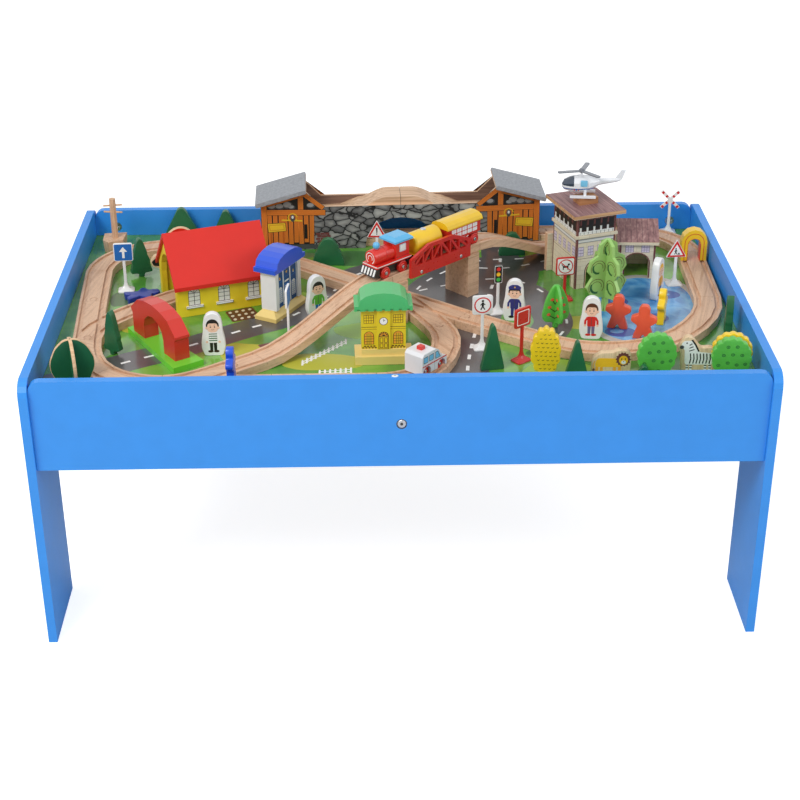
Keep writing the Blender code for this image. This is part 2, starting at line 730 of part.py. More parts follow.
def build_bridge():
    frame = place("bridge", DECK_WEST[0], DECK_WEST[1], DECK_FOOT, DECK_WEST[2])
    side = truss()
    add_part("back_truss", side, RED_PAINT, frame)
    add_part("front_truss", mirror(side, BACK), RED_PAINT, frame)
    half = PIER_WIDTH / 2
    foot = -PIER_HEIGHT - SEAT
    for name, start in (("west_pier", PIER_INSET), ("east_pier", DECK_RUN - PIER_INSET - PIER_THICK)):
        pier = box(start, start + PIER_THICK, -half, half, foot, -SEAT)
        add_part(name, pier, BEECH, frame)


# Buildings

HOUSE = (-0.3145, -0.0269, 20)
HOUSE_LENGTH = 0.138
HOUSE_DEPTH = 0.104
HOUSE_EAVE = 0.049
HOUSE_RIDGE = 0.105
HOUSE_WALL = 0.008
HOUSE_GATE = 0.040
ROOF_THICK = 0.004
ROOF_OVERHANG = 0.006
GLUED = 0.0004
GABLE_OVERHANG = 0.004
WINDOW_SILL = (0.025, 0.0025, 0.003)
SILL_LEVEL = 0.013


def gable(half, eave, ridge):
    return [(half, 0), (half, eave), (0, ridge), (-half, eave), (-half, 0)]


def pitched_roof(half, eave, ridge, overhang, thick, low, high):
    """Two slopes in one piece, seated on a gable, from low to high along X."""
    slope = (ridge - eave) / half
    drop = overhang * slope
    lift = thick * math.hypot(1, slope)
    edge_u = half + overhang
    outline = [
        (edge_u, eave - drop + SEAT),
        (edge_u, eave - drop + lift + SEAT),
        (0, ridge + lift + SEAT),
        (-edge_u, eave - drop + lift + SEAT),
        (-edge_u, eave - drop + SEAT),
        (0, ridge + SEAT),
    ]
    return prism(outline, low, high, "X")


def build_house():
    frame = place("house", HOUSE[0], HOUSE[1], GROUND, HOUSE[2])
    half = HOUSE_DEPTH / 2
    wall = HOUSE_WALL
    shell = prism(gable(half, HOUSE_EAVE, HOUSE_RIDGE), 0, HOUSE_LENGTH, "X")
    room = prism(gable(half - wall, HOUSE_EAVE, HOUSE_RIDGE * 2), wall, HOUSE_LENGTH - wall, "X")
    gate = prism(arch(HOUSE_GATE, HOUSE_EAVE * 0.75, HOUSE_GATE, foot=-wall), -wall, HOUSE_LENGTH + wall, "X")
    cellar = box(wall, HOUSE_LENGTH - wall, wall - half, half - wall, -wall, wall)
    width, depth, height = WINDOW_SILL
    sills = []
    for share in (0.18, 0.50, 0.82):
        middle = HOUSE_LENGTH * share
        sills.append(box(middle - width / 2, middle + width / 2, -half - depth, -half + depth,
                         SILL_LEVEL, SILL_LEVEL + height))
    walls = fused(cut(shell, room, gate, cellar), *sills)
    add_part("house_walls", moved(walls, y=half), YELLOW_PAINT, frame)
    roof = pitched_roof(half, HOUSE_EAVE, HOUSE_RIDGE, ROOF_OVERHANG, ROOF_THICK,
                        -GABLE_OVERHANG, HOUSE_LENGTH + GABLE_OVERHANG)
    add_part("house_roof", moved(roof, y=half), RED_PAINT, frame)


BANK = (-0.1683, -0.0030, 61)
BANK_BASE = (0.086, 0.036, 0.014)
BANK_BODY = (0.068, 0.022, 0.060)
BANK_ROOF = (0.082, 0.036, 0.024)
BANK_COLUMN = (0.008, 0.003)


def curved_roof(width, depth, rise, foot, steps=8):
    """An arched cap: flat below, with a flat step at both ends."""
    lip = rise * 0.28
    half = width / 2
    span = half * 0.86
    outline = [(half, foot), (half, foot + lip)]
    for step in range(steps + 1):
        turn = math.pi * step / steps
        outline.append((span * math.cos(turn), foot + lip + (rise - lip) * math.sin(turn) ** 0.8))
    outline += [(-half, foot + lip), (-half, foot)]
    return prism(outline, -depth / 2, depth / 2, "Y")


def build_bank():
    frame = place("bank_place", BANK[0], BANK[1], GROUND, BANK[2])
    width, depth, height = BANK_BASE
    side = width / 2
    foot = [(side, -depth / 2), (side, depth / 2), (-side, depth / 2), (-side, -depth / 2)]
    inset = 0.008
    crown = [(u - math.copysign(inset, u), v - math.copysign(inset, v)) for u, v in foot]
    rings = ((foot, 0), (foot, height * 0.4), (crown, height))
    base = lofted([[(u, v, z) for u, v in ring] for ring, z in rings])
    width, depth, tall = BANK_BODY
    floor = height - GLUED
    body = box(-width / 2, width / 2, -depth / 2, depth / 2, floor, floor + tall)
    post_width, post_depth = BANK_COLUMN
    for side in (-1, 1):
        middle = side * (width / 2 - post_width / 2)
        west, east = middle - post_width / 2, middle + post_width / 2
        column = box(west, east, -depth / 2 - post_depth, 0, floor, floor + tall)
        body = fused(body, column)
    roof_width, roof_depth, rise = BANK_ROOF
    roof = curved_roof(roof_width, roof_depth, rise, floor + tall - GLUED)
    add_part("bank", fused(base, body, roof), COBALT_PAINT, frame)


STATION = (-0.022, -0.163, 2)
STATION_BASE = (0.078, 0.040, 0.012)
STATION_STEP = (0.060, 0.032, 0.009)
STATION_BODY = (0.060, 0.026, 0.059)
STATION_ROOF = (0.078, 0.040, 0.026)


def build_station():
    frame = place("station_place", STATION[0], STATION[1], GROUND, STATION[2])
    width, depth, height = STATION_BASE
    base = box(-width / 2, width / 2, -depth / 2, depth / 2, 0, height)
    step_width, step_depth, step_height = STATION_STEP
    step = box(-step_width / 2, step_width / 2, -step_depth / 2, step_depth / 2, 0, height + step_height)
    base = fused(base, step)
    width, depth, tall = STATION_BODY
    floor = height + step_height
    body = box(-width / 2, width / 2, -depth / 2, depth / 2, floor - step_height / 2, floor + tall)
    bay = box(-0.009, 0.009, -depth / 2 - 0.003, 0, floor - step_height / 2, floor + tall)
    roof_width, roof_depth, rise = STATION_ROOF
    top = floor + tall - GLUED
    roof = curved_roof(roof_width, roof_depth, rise, top)
    teeth = []
    count = 7
    for index in range(count):
        middle = (index - (count - 1) / 2) * roof_width / count
        west, east = middle - 0.002, middle + 0.002
        teeth.append(box(west, east, -roof_depth, -roof_depth / 2 + 0.002, top - 0.001, top + 0.003))
    add_part("station", fused(base, body, bay, cut(roof, *teeth)), YELLOW_PAINT, frame)


TOWER = (0.264, 0.057, 19)
TOWER_SIZE = (0.063, 0.079, 0.115)
TOWER_WALL = 0.005
TOWER_ROOF = (0.083, 0.100, 0.005)
TOWER_BACK = (0.080, 0.009, 0.060)
LANDING_BLOCK = (0.030, 0.022, 0.010)
GARAGE = (0.3345, 0.0980, -3)
GARAGE_SIZE = (0.054, 0.060, 0.060)
GARAGE_RIDGE = 0.080


def build_tower():
    frame = place("tower_place", TOWER[0], TOWER[1], GROUND, TOWER[2])
    width, depth, height = TOWER_SIZE
    wall = TOWER_WALL
    shell = box(0, width, 0, depth, 0, height)
    room = box(wall, width - wall, wall, depth - wall, -wall, height - wall)
    front_door = moved(prism(arch(0.017, 0.026, 0.016, foot=-wall), -wall, 2 * wall, "Y"), x=width * 0.55)
    left_door = moved(prism(arch(0.013, 0.020, 0.013, foot=-wall), -wall, 2 * wall, "X"), y=depth * 0.36)
    ledge = 0.0025
    band = box(-ledge, width + ledge, -ledge, depth + ledge, height * 0.70, height * 0.735)
    walls = cut(fused(shell, band), room, front_door, left_door)
    back_width, back_depth, back_height = TOWER_BACK
    back_foot = depth - GLUED
    back = box(-0.009, back_width - 0.009, back_foot, back_foot + back_depth, 0, back_height)
    roof_width, roof_depth, thick = TOWER_ROOF
    x, y = width / 2, depth / 2
    roof = box(x - roof_width / 2, x + roof_width / 2, y - roof_depth / 2, y + roof_depth / 2,
               height - GLUED, height + thick)
    block_width, block_depth, block_height = LANDING_BLOCK
    low = height + thick - GLUED
    pad = box(x - block_width / 2, x + block_width / 2, y - block_depth / 2, y + block_depth / 2,
              low, height + thick + block_height)
    add_part("tower", fused(walls, back, roof, pad), STONE_BOARD, frame)


def build_garage():
    frame = place("garage_place", GARAGE[0], GARAGE[1], GROUND, GARAGE[2])
    width, depth, eave = GARAGE_SIZE
    wall = TOWER_WALL
    half = depth / 2
    shell = prism(gable(half, eave, GARAGE_RIDGE), 0, width, "X")
    room = prism(gable(half - wall, eave - wall, GARAGE_RIDGE - wall), wall, width - wall, "X")
    cellar = box(wall, width - wall, wall - half, half - wall, -wall, wall)
    opening = arch(0.018, 0.024, 0.016, foot=-wall)
    door = moved(prism(opening, -half - wall, -half + 2 * wall, "Y"), x=width / 2)
    roof = pitched_roof(half, eave, GARAGE_RIDGE, ROOF_OVERHANG, ROOF_THICK,
                        -GABLE_OVERHANG, width + GABLE_OVERHANG)
    hall = fused(cut(shell, room, cellar, door), moved(roof, z=-SEAT - GLUED))
    add_part("garage", moved(hall, y=half), STONE_BOARD, frame)


MINE = (0.010, 0.2285, 2)
MINE_HALF = 0.2180
MINE_DEPTH = 0.054
MINE_PANEL = 0.005
MINE_MIDDLE_HEIGHT = 0.0705
MINE_GABLE_START = 0.124
MINE_RIDGE_PLACE = 0.150
MINE_RIDGE = 0.097
MINE_EAVE = 0.078
MINE_ARCH = (0.056, 0.050)
MINE_ROOF_DEPTH = 0.084
MINE_ROOF_THICK = 0.006
MINE_CEILING = 0.048


def mine_panel(low, high):
    """Half of the tunnel's face: flat in the middle, with a lopsided gable at the end."""
    span, rise = MINE_ARCH
    corners = [(span, 0), (MINE_HALF, 0), (MINE_HALF, MINE_EAVE), (MINE_RIDGE_PLACE, MINE_RIDGE)]
    corners += [(MINE_GABLE_START, MINE_MIDDLE_HEIGHT), (WOOD_GAP, MINE_MIDDLE_HEIGHT)]
    steps = 5
    for step in range(steps + 1):
        turn = math.pi / 2 * (1 - step / steps)
        corners.append((max(span * math.cos(turn), WOOD_GAP), rise * math.sin(turn) ** 0.8))
    return prism(corners[:-1], low, high, "Y")


def build_mine():
    frame = place("mine_tunnel", MINE[0], MINE[1], GROUND, MINE[2])
    front = mine_panel(0, MINE_PANEL)
    back = mine_panel(MINE_DEPTH - MINE_PANEL, MINE_DEPTH)
    near = MINE_PANEL - GLUED
    far = MINE_DEPTH - MINE_PANEL + GLUED
    ceiling = box(0.004, MINE_HALF - 0.004, near, far, MINE_CEILING, MINE_CEILING + 0.008)
    crown_foot = MINE_CEILING + 0.008 - GLUED
    crown = [(WOOD_GAP, crown_foot), (0.095, crown_foot), (0.080, MINE_CEILING + 0.014)]
    steps = 6
    for step in range(steps + 1):
        t = step / steps
        rise = 0.5 + 0.5 * math.cos(math.pi * (1 - t))
        crown.append((0.066 - 0.046 * t, MINE_MIDDLE_HEIGHT - 0.003 + 0.015 * rise))
    crown.append((WOOD_GAP, MINE_MIDDLE_HEIGHT + 0.012))
    wave = prism(crown, near, far, "Y")
    fall = math.atan2(MINE_RIDGE - MINE_EAVE, MINE_HALF - MINE_RIDGE_PLACE)
    run = math.hypot(MINE_RIDGE - MINE_EAVE, MINE_HALF - MINE_RIDGE_PLACE)
    low, high = -0.004, run + 0.007
    middle = MINE_DEPTH / 2
    roof = block(low, high, -GLUED, MINE_ROOF_THICK, 0.0015,
                 middle - MINE_ROOF_DEPTH / 2, middle + MINE_ROOF_DEPTH / 2)
    tip = Matrix.Translation((MINE_RIDGE_PLACE, 0, MINE_RIDGE)) @ Matrix.Rotation(fall, 4, "Y")
    roof.transform(tip)
    half = fused(front, back, ceiling, wave, roof)
    add_part("mine_right_half", half, PRINTED_BOARD, frame)
    add_part("mine_left_half", mirror(half, LEFT), PRINTED_BOARD, frame)


# Rolling stock. Each vehicle's frame: X forward, Z up from the running surface of the track

WHEEL_EDGE = 0.0010
WHEEL_INNER = CHASSIS_WIDTH / 2 + BEARING_GAP
AXLE_LEVEL = WHEEL_RADIUS + SEAT - RUT_DEPTH


def wheelset(radius, inner, width):
    """Two wheels on one axle, along Y."""
    outer = inner + width
    half = [
        (AXLE_RADIUS, inner),
        (radius, inner),
        (radius, outer - WHEEL_EDGE),
        (radius - WHEEL_EDGE, outer),
    ]
    return turned([(r, -h) for r, h in reversed(half)] + half, 10, "Y")


def axle_bore(x, level):
    bore = prism(circle(AXLE_RADIUS + BEARING_GAP, 8), -TRACK_WIDTH, TRACK_WIDTH, "Y")
    return moved(bore, x=x, z=level)


def add_wheelsets(vehicle, frame, places, level, radius=WHEEL_RADIUS, inner=WHEEL_INNER, width=WHEEL_WIDTH):
    for name, x in zip(("front", "rear"), places):
        wheels = moved(wheelset(radius, inner, width), x=x, z=level)
        add_part(f"{vehicle}_{name}_wheelset", wheels, RED_PAINT, frame, (x, 0, level), smooth=True)


def on_deck(name, distance, backwards=True):
    """A frame for a vehicle at a distance along the deck from its west end."""
    heading = math.radians(DECK_WEST[2])
    x = DECK_WEST[0] + distance * math.cos(heading)
    y = DECK_WEST[1] + distance * math.sin(heading)
    return place(name, x, y, DECK_TOP, DECK_WEST[2] + (180 if backwards else 0))


LOCO_PLACE = 0.008
LOCO_FRONT = 0.038
LOCO_REAR = -0.033
LOCO_WHEELS = (0.016, -0.017)
LOCO_CAB_TOP = 0.044
BOILER_RADIUS = 0.0110


def build_loco():
    frame = on_deck("locomotive", LOCO_PLACE)
    half = CHASSIS_WIDTH / 2
    nose = [
        (LOCO_REAR, CHASSIS_FLOOR),
        (LOCO_FRONT - 0.004, CHASSIS_FLOOR - 0.0005),
        (LOCO_FRONT, CHASSIS_FLOOR + 0.0015),
        (LOCO_FRONT - 0.005, CHASSIS_TOP),
        (LOCO_REAR, CHASSIS_TOP),
    ]
    chassis = prism(nose, -half, half, "Y")
    catcher = [(LOCO_FRONT - 0.010, 0.0030), (LOCO_FRONT, 0.0050), (LOCO_FRONT - 0.005, CHASSIS_TOP)]
    catcher += [(LOCO_FRONT - 0.010, CHASSIS_TOP)]
    chassis = fused(chassis, prism(catcher, -0.0150, 0.0150, "Y"))
    bores = [axle_bore(x, AXLE_LEVEL) for x in LOCO_WHEELS]
    low = CHASSIS_TOP - GLUED
    top = low + 0.0035
    board = box(LOCO_REAR - 0.001, LOCO_FRONT - 0.006, -0.0150, 0.0150, low, top)
    boiler = moved(prism(circle(BOILER_RADIUS, 12), -0.010, 0.031, "X"), z=top + BOILER_RADIUS * 0.85)
    cab = box(LOCO_REAR + 0.002, -0.006, -0.0130, 0.0130, low, LOCO_CAB_TOP)
    window = box(LOCO_REAR + 0.008, -0.012, -0.0140, 0.0140, 0.0290, 0.0400)
    crown = top + BOILER_RADIUS * 1.85
    dome_line = [(0.0022, -0.002), (0.0024, 0.0020), (0.0042, 0.0040), (0.0042, 0.0070), (0.0020, 0.0092)]
    dome = turned(dome_line, 8)
    body = fused(chassis, board, boiler, cab, moved(dome, x=0.020, z=crown))
    add_part("loco_body", cut(body, window, *bores), RED_PAINT, frame)
    foot = LOCO_CAB_TOP + SEAT
    eave = [(LOCO_REAR - 0.003, -0.0165), (-0.001, -0.0165), (-0.001, 0.0165), (LOCO_REAR - 0.003, 0.0165)]
    ridge = [(LOCO_REAR + 0.002, -0.010), (-0.006, -0.010), (-0.006, 0.010), (LOCO_REAR + 0.002, 0.010)]
    rings = ((eave, foot), (eave, foot + 0.0025), (ridge, foot + 0.0070))
    roof = lofted([[(u, v, z) for u, v in ring] for ring, z in rings])
    add_part("loco_roof", roof, SKY_PAINT, frame)
    add_wheelsets("loco", frame, LOCO_WHEELS, AXLE_LEVEL)


TANK_PLACE = 0.079
TANK_HALF = 0.029
TANK_WHEELS = (0.018, -0.018)
TANK_RADIUS = 0.0155
TANK_BARREL_HALF = 0.0265


def build_tank():
    frame = on_deck("tank_place", TANK_PLACE)
    half = CHASSIS_WIDTH / 2
    chassis = box(-TANK_HALF, TANK_HALF, -half, half, CHASSIS_FLOOR, CHASSIS_TOP - 0.002)
    bores = [axle_bore(x, AXLE_LEVEL) for x in TANK_WHEELS]
    low = CHASSIS_TOP - 0.002 - GLUED
    ends = (0.60, 0.86, 1.0)
    places = (TANK_BARREL_HALF, TANK_BARREL_HALF - 0.0012, TANK_BARREL_HALF - 0.0050)
    profile = [(TANK_RADIUS * share, -x) for share, x in zip(ends, places)]
    profile += [(radius, -x) for radius, x in reversed(profile)]
    barrel = moved(turned(profile, 12, "X"), z=low + TANK_RADIUS * 0.88)
    barrel = cut(barrel, box(-TANK_HALF, TANK_HALF, -TRACK_WIDTH, TRACK_WIDTH, -TRACK_WIDTH, low))
    add_part("tank_car", cut(fused(chassis, barrel), *bores), YELLOW_PAINT, frame)
    add_wheelsets("tank", frame, TANK_WHEELS, AXLE_LEVEL)


COACH_PLACE = 0.149
COACH_HALF = 0.033
COACH_WHEELS = (0.021, -0.021)
COACH_TOP = 0.034


def build_coach():
    frame = on_deck("coach", COACH_PLACE)
    half = CHASSIS_WIDTH / 2
    wide = 0.0150
    outline = [(half, CHASSIS_FLOOR), (half, CHASSIS_TOP), (wide, CHASSIS_TOP), (wide, COACH_TOP)]
    outline += [(-u, v) for u, v in reversed(outline)]
    body = prism(outline, -COACH_HALF, COACH_HALF, "X")
    bores = [axle_bore(x, AXLE_LEVEL) for x in COACH_WHEELS]
    arches = [moved(prism(circle(WHEEL_RADIUS + 0.0012, 8), half, wide + 0.002, "Y"), x=x, z=AXLE_LEVEL)
              for x in COACH_WHEELS]
    add_part("coach_body", cut(body, *bores, *arches, *mirrored(arches, BACK)), RED_PAINT, frame)
    foot = COACH_TOP + SEAT
    eave = 0.0170
    crown = [(eave, foot), (eave, foot + 0.002)]
    steps = 6
    for step in range(1, steps):
        turn = math.pi * step / steps
        crown.append((eave * math.cos(turn), foot + 0.002 + 0.0085 * math.sin(turn)))
    crown += [(-eave, foot + 0.002), (-eave, foot)]
    add_part("coach_roof", prism(crown, -COACH_HALF - 0.003, COACH_HALF + 0.003, "X"), YELLOW_PAINT, frame)
    add_wheelsets("coach", frame, COACH_WHEELS, AXLE_LEVEL)


AMBULANCE = (0.0335, -0.2240, 49)
VAN_WHEELS = (0.015, -0.015)
VAN_WHEEL_RADIUS = 0.0075
VAN_WHEEL_WIDTH = 0.0045
VAN_CHASSIS = 0.0130
VAN_HALF_WIDTH = 0.0150


def build_ambulance():
    frame = place("ambulance", AMBULANCE[0], AMBULANCE[1], TRACK_TOP, AMBULANCE[2])
    side = [
        (-0.025, 0.0050),
        (0.026, 0.0050),
        (0.026, 0.0170),
        (0.016, 0.0200),
        (0.009, 0.0320),
        (0.003, 0.0350),
        (-0.021, 0.0350),
        (-0.025, 0.0310),
    ]
    level = VAN_WHEEL_RADIUS + SEAT
    body = prism(side, -VAN_HALF_WIDTH, VAN_HALF_WIDTH, "Y")
    half = VAN_CHASSIS / 2
    wells = []
    for x in VAN_WHEELS:
        well = prism(circle(VAN_WHEEL_RADIUS + WHEEL_EDGE, 8), half, VAN_HALF_WIDTH * 2, "Y")
        wells.append(moved(well, x=x, z=level))
    bores = [axle_bore(x, level) for x in VAN_WHEELS]
    body = cut(body, *wells, *mirrored(wells, BACK), *bores)
    lamp = box(-0.014, -0.006, -0.004, 0.004, 0.030, 0.040)
    add_part("ambulance_body", fused(body, lamp), WHITE_PAINT, frame)
    inner = half + BEARING_GAP
    add_wheelsets("ambulance", frame, VAN_WHEELS, level, VAN_WHEEL_RADIUS, inner, VAN_WHEEL_WIDTH)


HELICOPTER_TURN = 25
SKID_SPREAD = 0.013
MAST_RADIUS = 0.0018


def build_helicopter():
    """A small toy helicopter that stands on the landing block of the tower."""
    turn = math.radians(TOWER[2])
    across, deep = TOWER_SIZE[0] / 2, TOWER_SIZE[1] / 2
    x = TOWER[0] + across * math.cos(turn) - deep * math.sin(turn)
    y = TOWER[1] + across * math.sin(turn) + deep * math.cos(turn)
    z = GROUND + TOWER_SIZE[2] + TOWER_ROOF[2] + LANDING_BLOCK[2] + 3 * SEAT
    frame = place("helicopter", x, y, z, TOWER[2] + 180 - HELICOPTER_TURN)
    hull = []
    for along, high, wide, tall in (
        (0.036, 0.0160, 0.0030, 0.0030),
        (0.033, 0.0165, 0.0085, 0.0080),
        (0.024, 0.0175, 0.0125, 0.0115),
        (0.010, 0.0185, 0.0140, 0.0130),
        (-0.004, 0.0190, 0.0120, 0.0115),
        (-0.018, 0.0215, 0.0050, 0.0055),
        (-0.044, 0.0250, 0.0030, 0.0032),
        (-0.050, 0.0260, 0.0015, 0.0016),
    ):
        hull.append([(along, wide * math.cos(a), high + tall * math.sin(a)) for a in
                     [2 * math.pi * (side + 0.5) / 10 for side in range(10)]])
    body = lofted(hull)
    fin_line = [(-0.040, 0.0250), (-0.051, 0.0260), (-0.056, 0.0400), (-0.050, 0.0400)]
    fin = prism(fin_line, -0.0014, 0.0014, "Y")
    mast = moved(prism(circle(MAST_RADIUS, 6), 0, 0.0080), x=0.008, z=0.0270)
    legs = box(0.000, 0.004, -SKID_SPREAD, SKID_SPREAD, 0.0005, 0.0100)
    skid = block(-0.014, 0.024, 0, 0.0034, 0.0012, SKID_SPREAD - 0.002, SKID_SPREAD + 0.002)
    body = fused(body, fin, mast, legs, skid, *mirrored([skid], BACK))
    add_part("helicopter_body", body, WHITE_PLASTIC, frame, smooth=True)
    hub = (0.008, 0.0, 0.0355)
    blades = prism(circle(0.0046, 6), hub[2], hub[2] + 0.0040)
    for index in range(3):
        blade = block(0.001, 0.036, -0.0036, 0.0036, 0.0024, hub[2] + 0.0010, hub[2] + 0.0026, "Z")
        blades = fused(blades, moved(blade, heading=120 * index + 15))
    add_part("helicopter_rotor", moved(blades, x=hub[0]), GREY_PAINT, frame, hub)


# Loose pieces that stand on the board. Outlines are half profiles, from the foot up, mirrored

BOARD_THICK = 0.010
SLAB_THICK = 0.012
ROOTED = SHEET_TOP - SHEET / 2


def symmetric(half):
    """A closed outline from its right half, listed from the foot to the top."""
    return half + [(-u, v) for u, v in reversed(half) if u > 0]


def slab(half, thick, spot, level=ROOTED):
    return stand_at(prism(symmetric(half), -thick / 2, thick / 2, "Y"), spot, level)


def crossed(half, thick, spot, level=ROOTED):
    """Two equal boards slotted into each other at a right angle."""
    board = prism(symmetric(half), -thick / 2, thick / 2, "Y")
    return stand_at(fused(board, moved(board, heading=90)), spot, level)


ARCH_GATE = (-0.3275, -0.1270, -55.5)
ARCH_BASE_HALF = 0.0760
ARCH_BASE_WIDTHS = (0.0260, 0.0460)
ARCH_BASE_THICK = 0.008
ARCH_HALF = 0.0600
ARCH_LIP = 0.0035
ARCH_SHOULDER = (0.030, 0.037)
ARCH_HEIGHT = 0.062
ARCH_THICK = 0.022
ARCH_OPENING = (0.028, 0.020, 0.024)


def build_red_arch():
    frame = place("arch_place", ARCH_GATE[0], ARCH_GATE[1], GROUND, ARCH_GATE[2])
    near, far = ARCH_BASE_WIDTHS
    plan = [(-ARCH_BASE_HALF, -near / 2), (ARCH_BASE_HALF, -far / 2)]
    plan += [(ARCH_BASE_HALF, far / 2), (-ARCH_BASE_HALF, near / 2)]
    base = prism(plan, 0, ARCH_BASE_THICK)
    low, high = ARCH_SHOULDER
    reach = ARCH_HALF + ARCH_LIP
    outline = [(ARCH_HALF, 0), (ARCH_HALF, low), (reach, low + ARCH_LIP), (reach, high)]
    steps = 6
    for step in range(1, steps):
        turn = math.pi * (0.12 + 0.76 * step / steps)
        outline.append((ARCH_HALF * math.cos(turn), high + (ARCH_HEIGHT - high) * math.sin(turn)))
    outline += [(-u, v) for u, v in reversed(outline[:4])]
    wide, spring, rise = ARCH_OPENING
    outline += [(-wide, 0), (-wide, spring)]
    outline += [(wide * math.cos(turn), spring + rise * math.sin(turn))
                for turn in [math.pi * (1 - step / steps) for step in range(1, steps)]]
    outline += [(wide, spring), (wide, 0)]
    gate = prism(outline, -ARCH_THICK / 2, ARCH_THICK / 2, "Y")
    add_part("red_arch", fused(base, moved(gate, z=ARCH_BASE_THICK - GLUED)), RED_PAINT, frame)


YELLOW_ARCH = (0.4540, 0.1400, 0)
YELLOW_ARCH_HALF = 0.0195
YELLOW_ARCH_SPRING = 0.030
YELLOW_ARCH_THICK = 0.016
YELLOW_OPENING = (0.0095, 0.026)


def build_yellow_arch():
    wide, spring = YELLOW_OPENING
    outer = arch(YELLOW_ARCH_HALF, YELLOW_ARCH_SPRING, YELLOW_ARCH_HALF, steps=6)
    inner = arch(wide, spring, wide, steps=4, foot=-wide)
    gate = cut(prism(outer, -YELLOW_ARCH_THICK / 2, YELLOW_ARCH_THICK / 2, "Y"),
               prism(inner, -YELLOW_ARCH_THICK, YELLOW_ARCH_THICK, "Y"))
    add_part("yellow_arch", stand_at(gate, YELLOW_ARCH, TRACK_TOP + SEAT), YELLOW_PAINT)


POLE = (-0.4385, 0.2340)
POLE_PLAN = [(-0.456, 0.248), (-0.455, 0.222), (-0.446, 0.213), (-0.426, 0.222), (-0.424, 0.252)]
POLE_BASE = 0.020
POLE_HEIGHT = 0.084
POLE_RADIUS = 0.0050
POLE_ARM = (0.0015, 0.0145)
POLE_ARMS = (0.062, 0.073)


def build_pole():
    foot = [(x, y, GROUND) for x, y in POLE_PLAN]
    crown = [(POLE[0] + (x - POLE[0]) * 1.08, POLE[1] + (y - POLE[1]) * 1.08, GROUND + POLE_BASE)
             for x, y in POLE_PLAN]
    base = lofted([foot, crown])
    post = prism(circle(POLE_RADIUS, 8, *POLE), GROUND + POLE_BASE / 2, GROUND + POLE_HEIGHT)
    radius, reach = POLE_ARM
    arms = []
    for level, heading in zip(POLE_ARMS, (-6, 8)):
        arm = prism(circle(radius, 6), -reach, reach, "X")
        arms.append(moved(arm, x=POLE[0], y=POLE[1], z=GROUND + level, heading=heading))
    add_part("utility_pole", fused(base, post, *arms), BEECH)


SIGN_FOOT = (0.0240, 0.0190)
SIGN_POST = (0.0042, 0.0032)
SIGN_PLATE = 0.0280
PLATE_THICK = 0.0030
PLATE_CORNER = 0.0030
SIGNS = [
    ("square", (-0.402, 0.073, 4), 0.0760),
    ("square", (-0.153, -0.104, 84), 0.0820),
    ("square", (0.114, -0.136, 6), 0.0800),
    ("square", (0.165, -0.175, 38), 0.0790),
    ("lights", (0.144, -0.020, 8), 0.0745),
    ("triangle", (0.415, 0.072, 4), 0.0725),
    ("cross", (0.440, 0.278, -4), 0.0700),
    ("triangle", (-0.028, 0.172, -4), 0.0680),
    ("square", (0.245, 0.023, 8), 0.0670),
]


def plate_outline(kind):
    half = SIGN_PLATE / 2
    if kind == "square":
        corner = PLATE_CORNER
        return rounded([(half, 0, corner), (half, 2 * half, corner), (-half, 2 * half, corner),
                        (-half, 0, corner)], steps=1)
    if kind == "lights":
        side, corner = half * 0.45, 0.002
        return rounded([(side, 0, corner), (side, 2 * half, corner), (-side, 2 * half, corner),
                        (-side, 0, corner)], steps=1)
    if kind == "triangle":
        return rounded([(half * 1.1, 0, 0.002), (0, 2 * half, 0.002), (-half * 1.1, 0, 0.002)], steps=2)
    arm, wide = half * 1.4, 0.0023
    points = []
    for quarter in range(4):
        turn = math.radians(90 * quarter + 45)
        ahead = Vector((math.cos(turn), math.sin(turn)))
        side = Vector((-ahead.y, ahead.x))
        for reach, shift in ((arm, -wide), (arm, wide), (wide, wide)):
            spot = ahead * reach + side * shift
            points.append((spot.x, spot.y + half))
    return points


def sign_post(height):
    """A moulded foot that narrows into the post, in one piece."""
    wide, deep = SIGN_FOOT
    post_wide, post_deep = SIGN_POST
    rings = []
    for u, v, z in (
        (wide, deep, 0),
        (wide * 0.92, deep * 0.92, 0.0025),
        (wide * 0.42, deep * 0.42, 0.0060),
        (post_wide, post_deep, 0.0150),
        (post_wide, post_deep, height),
    ):
        rings.append([(u / 2, -v / 2, z), (u / 2, v / 2, z), (-u / 2, v / 2, z), (-u / 2, -v / 2, z)])
    return lofted(rings)


def signs():
    row = []
    for kind, spot, height in SIGNS:
        low = height - SIGN_PLATE
        plate = prism(plate_outline(kind), -PLATE_THICK / 2, PLATE_THICK / 2, "Y")
        sign = fused(sign_post(low + SIGN_PLATE / 2), moved(plate, z=low))
        row.append(stand_at(sign, spot, ROOTED))
    return row


FIR = [(0.004, 0), (0.004, 0.006), (0.017, 0.007), (0.013, 0.022), (0.014, 0.026), (0.010, 0.038)]
FIR += [(0.010, 0.042), (0.005, 0.060), (0, 0.066)]
POINTED = [(0.016, 0), (0.0155, 0.004), (0.003, 0.052), (0, 0.055)]
DISC = [
    (0.010, 0), (0.019, 0.009), (0.027, 0.026), (0.027, 0.038), (0.019, 0.055), (0.009, 0.063),
    (0.0035, 0.0642),
]
LEAFY = [(0.005, 0), (0.004, 0.022), (0.024, 0.026), (0.034, 0.042), (0.024, 0.056), (0.032, 0.066)]
LEAFY += [(0.028, 0.082), (0.016, 0.088), (0.014, 0.104), (0.0038, 0.111)]
FRUIT = [
    (0.004, 0), (0.004, 0.010), (0.018, 0.012), (0.021, 0.022), (0.016, 0.045), (0.008, 0.061),
    (0.0035, 0.066),
]
BUSHY = [(0.012, 0), (0.019, 0.010), (0.020, 0.021), (0.017, 0.030), (0.009, 0.038), (0, 0.041)]
DOME = [(0.0125, 0), (0.0120, 0.008), (0.007, 0.015), (0, 0.017)]
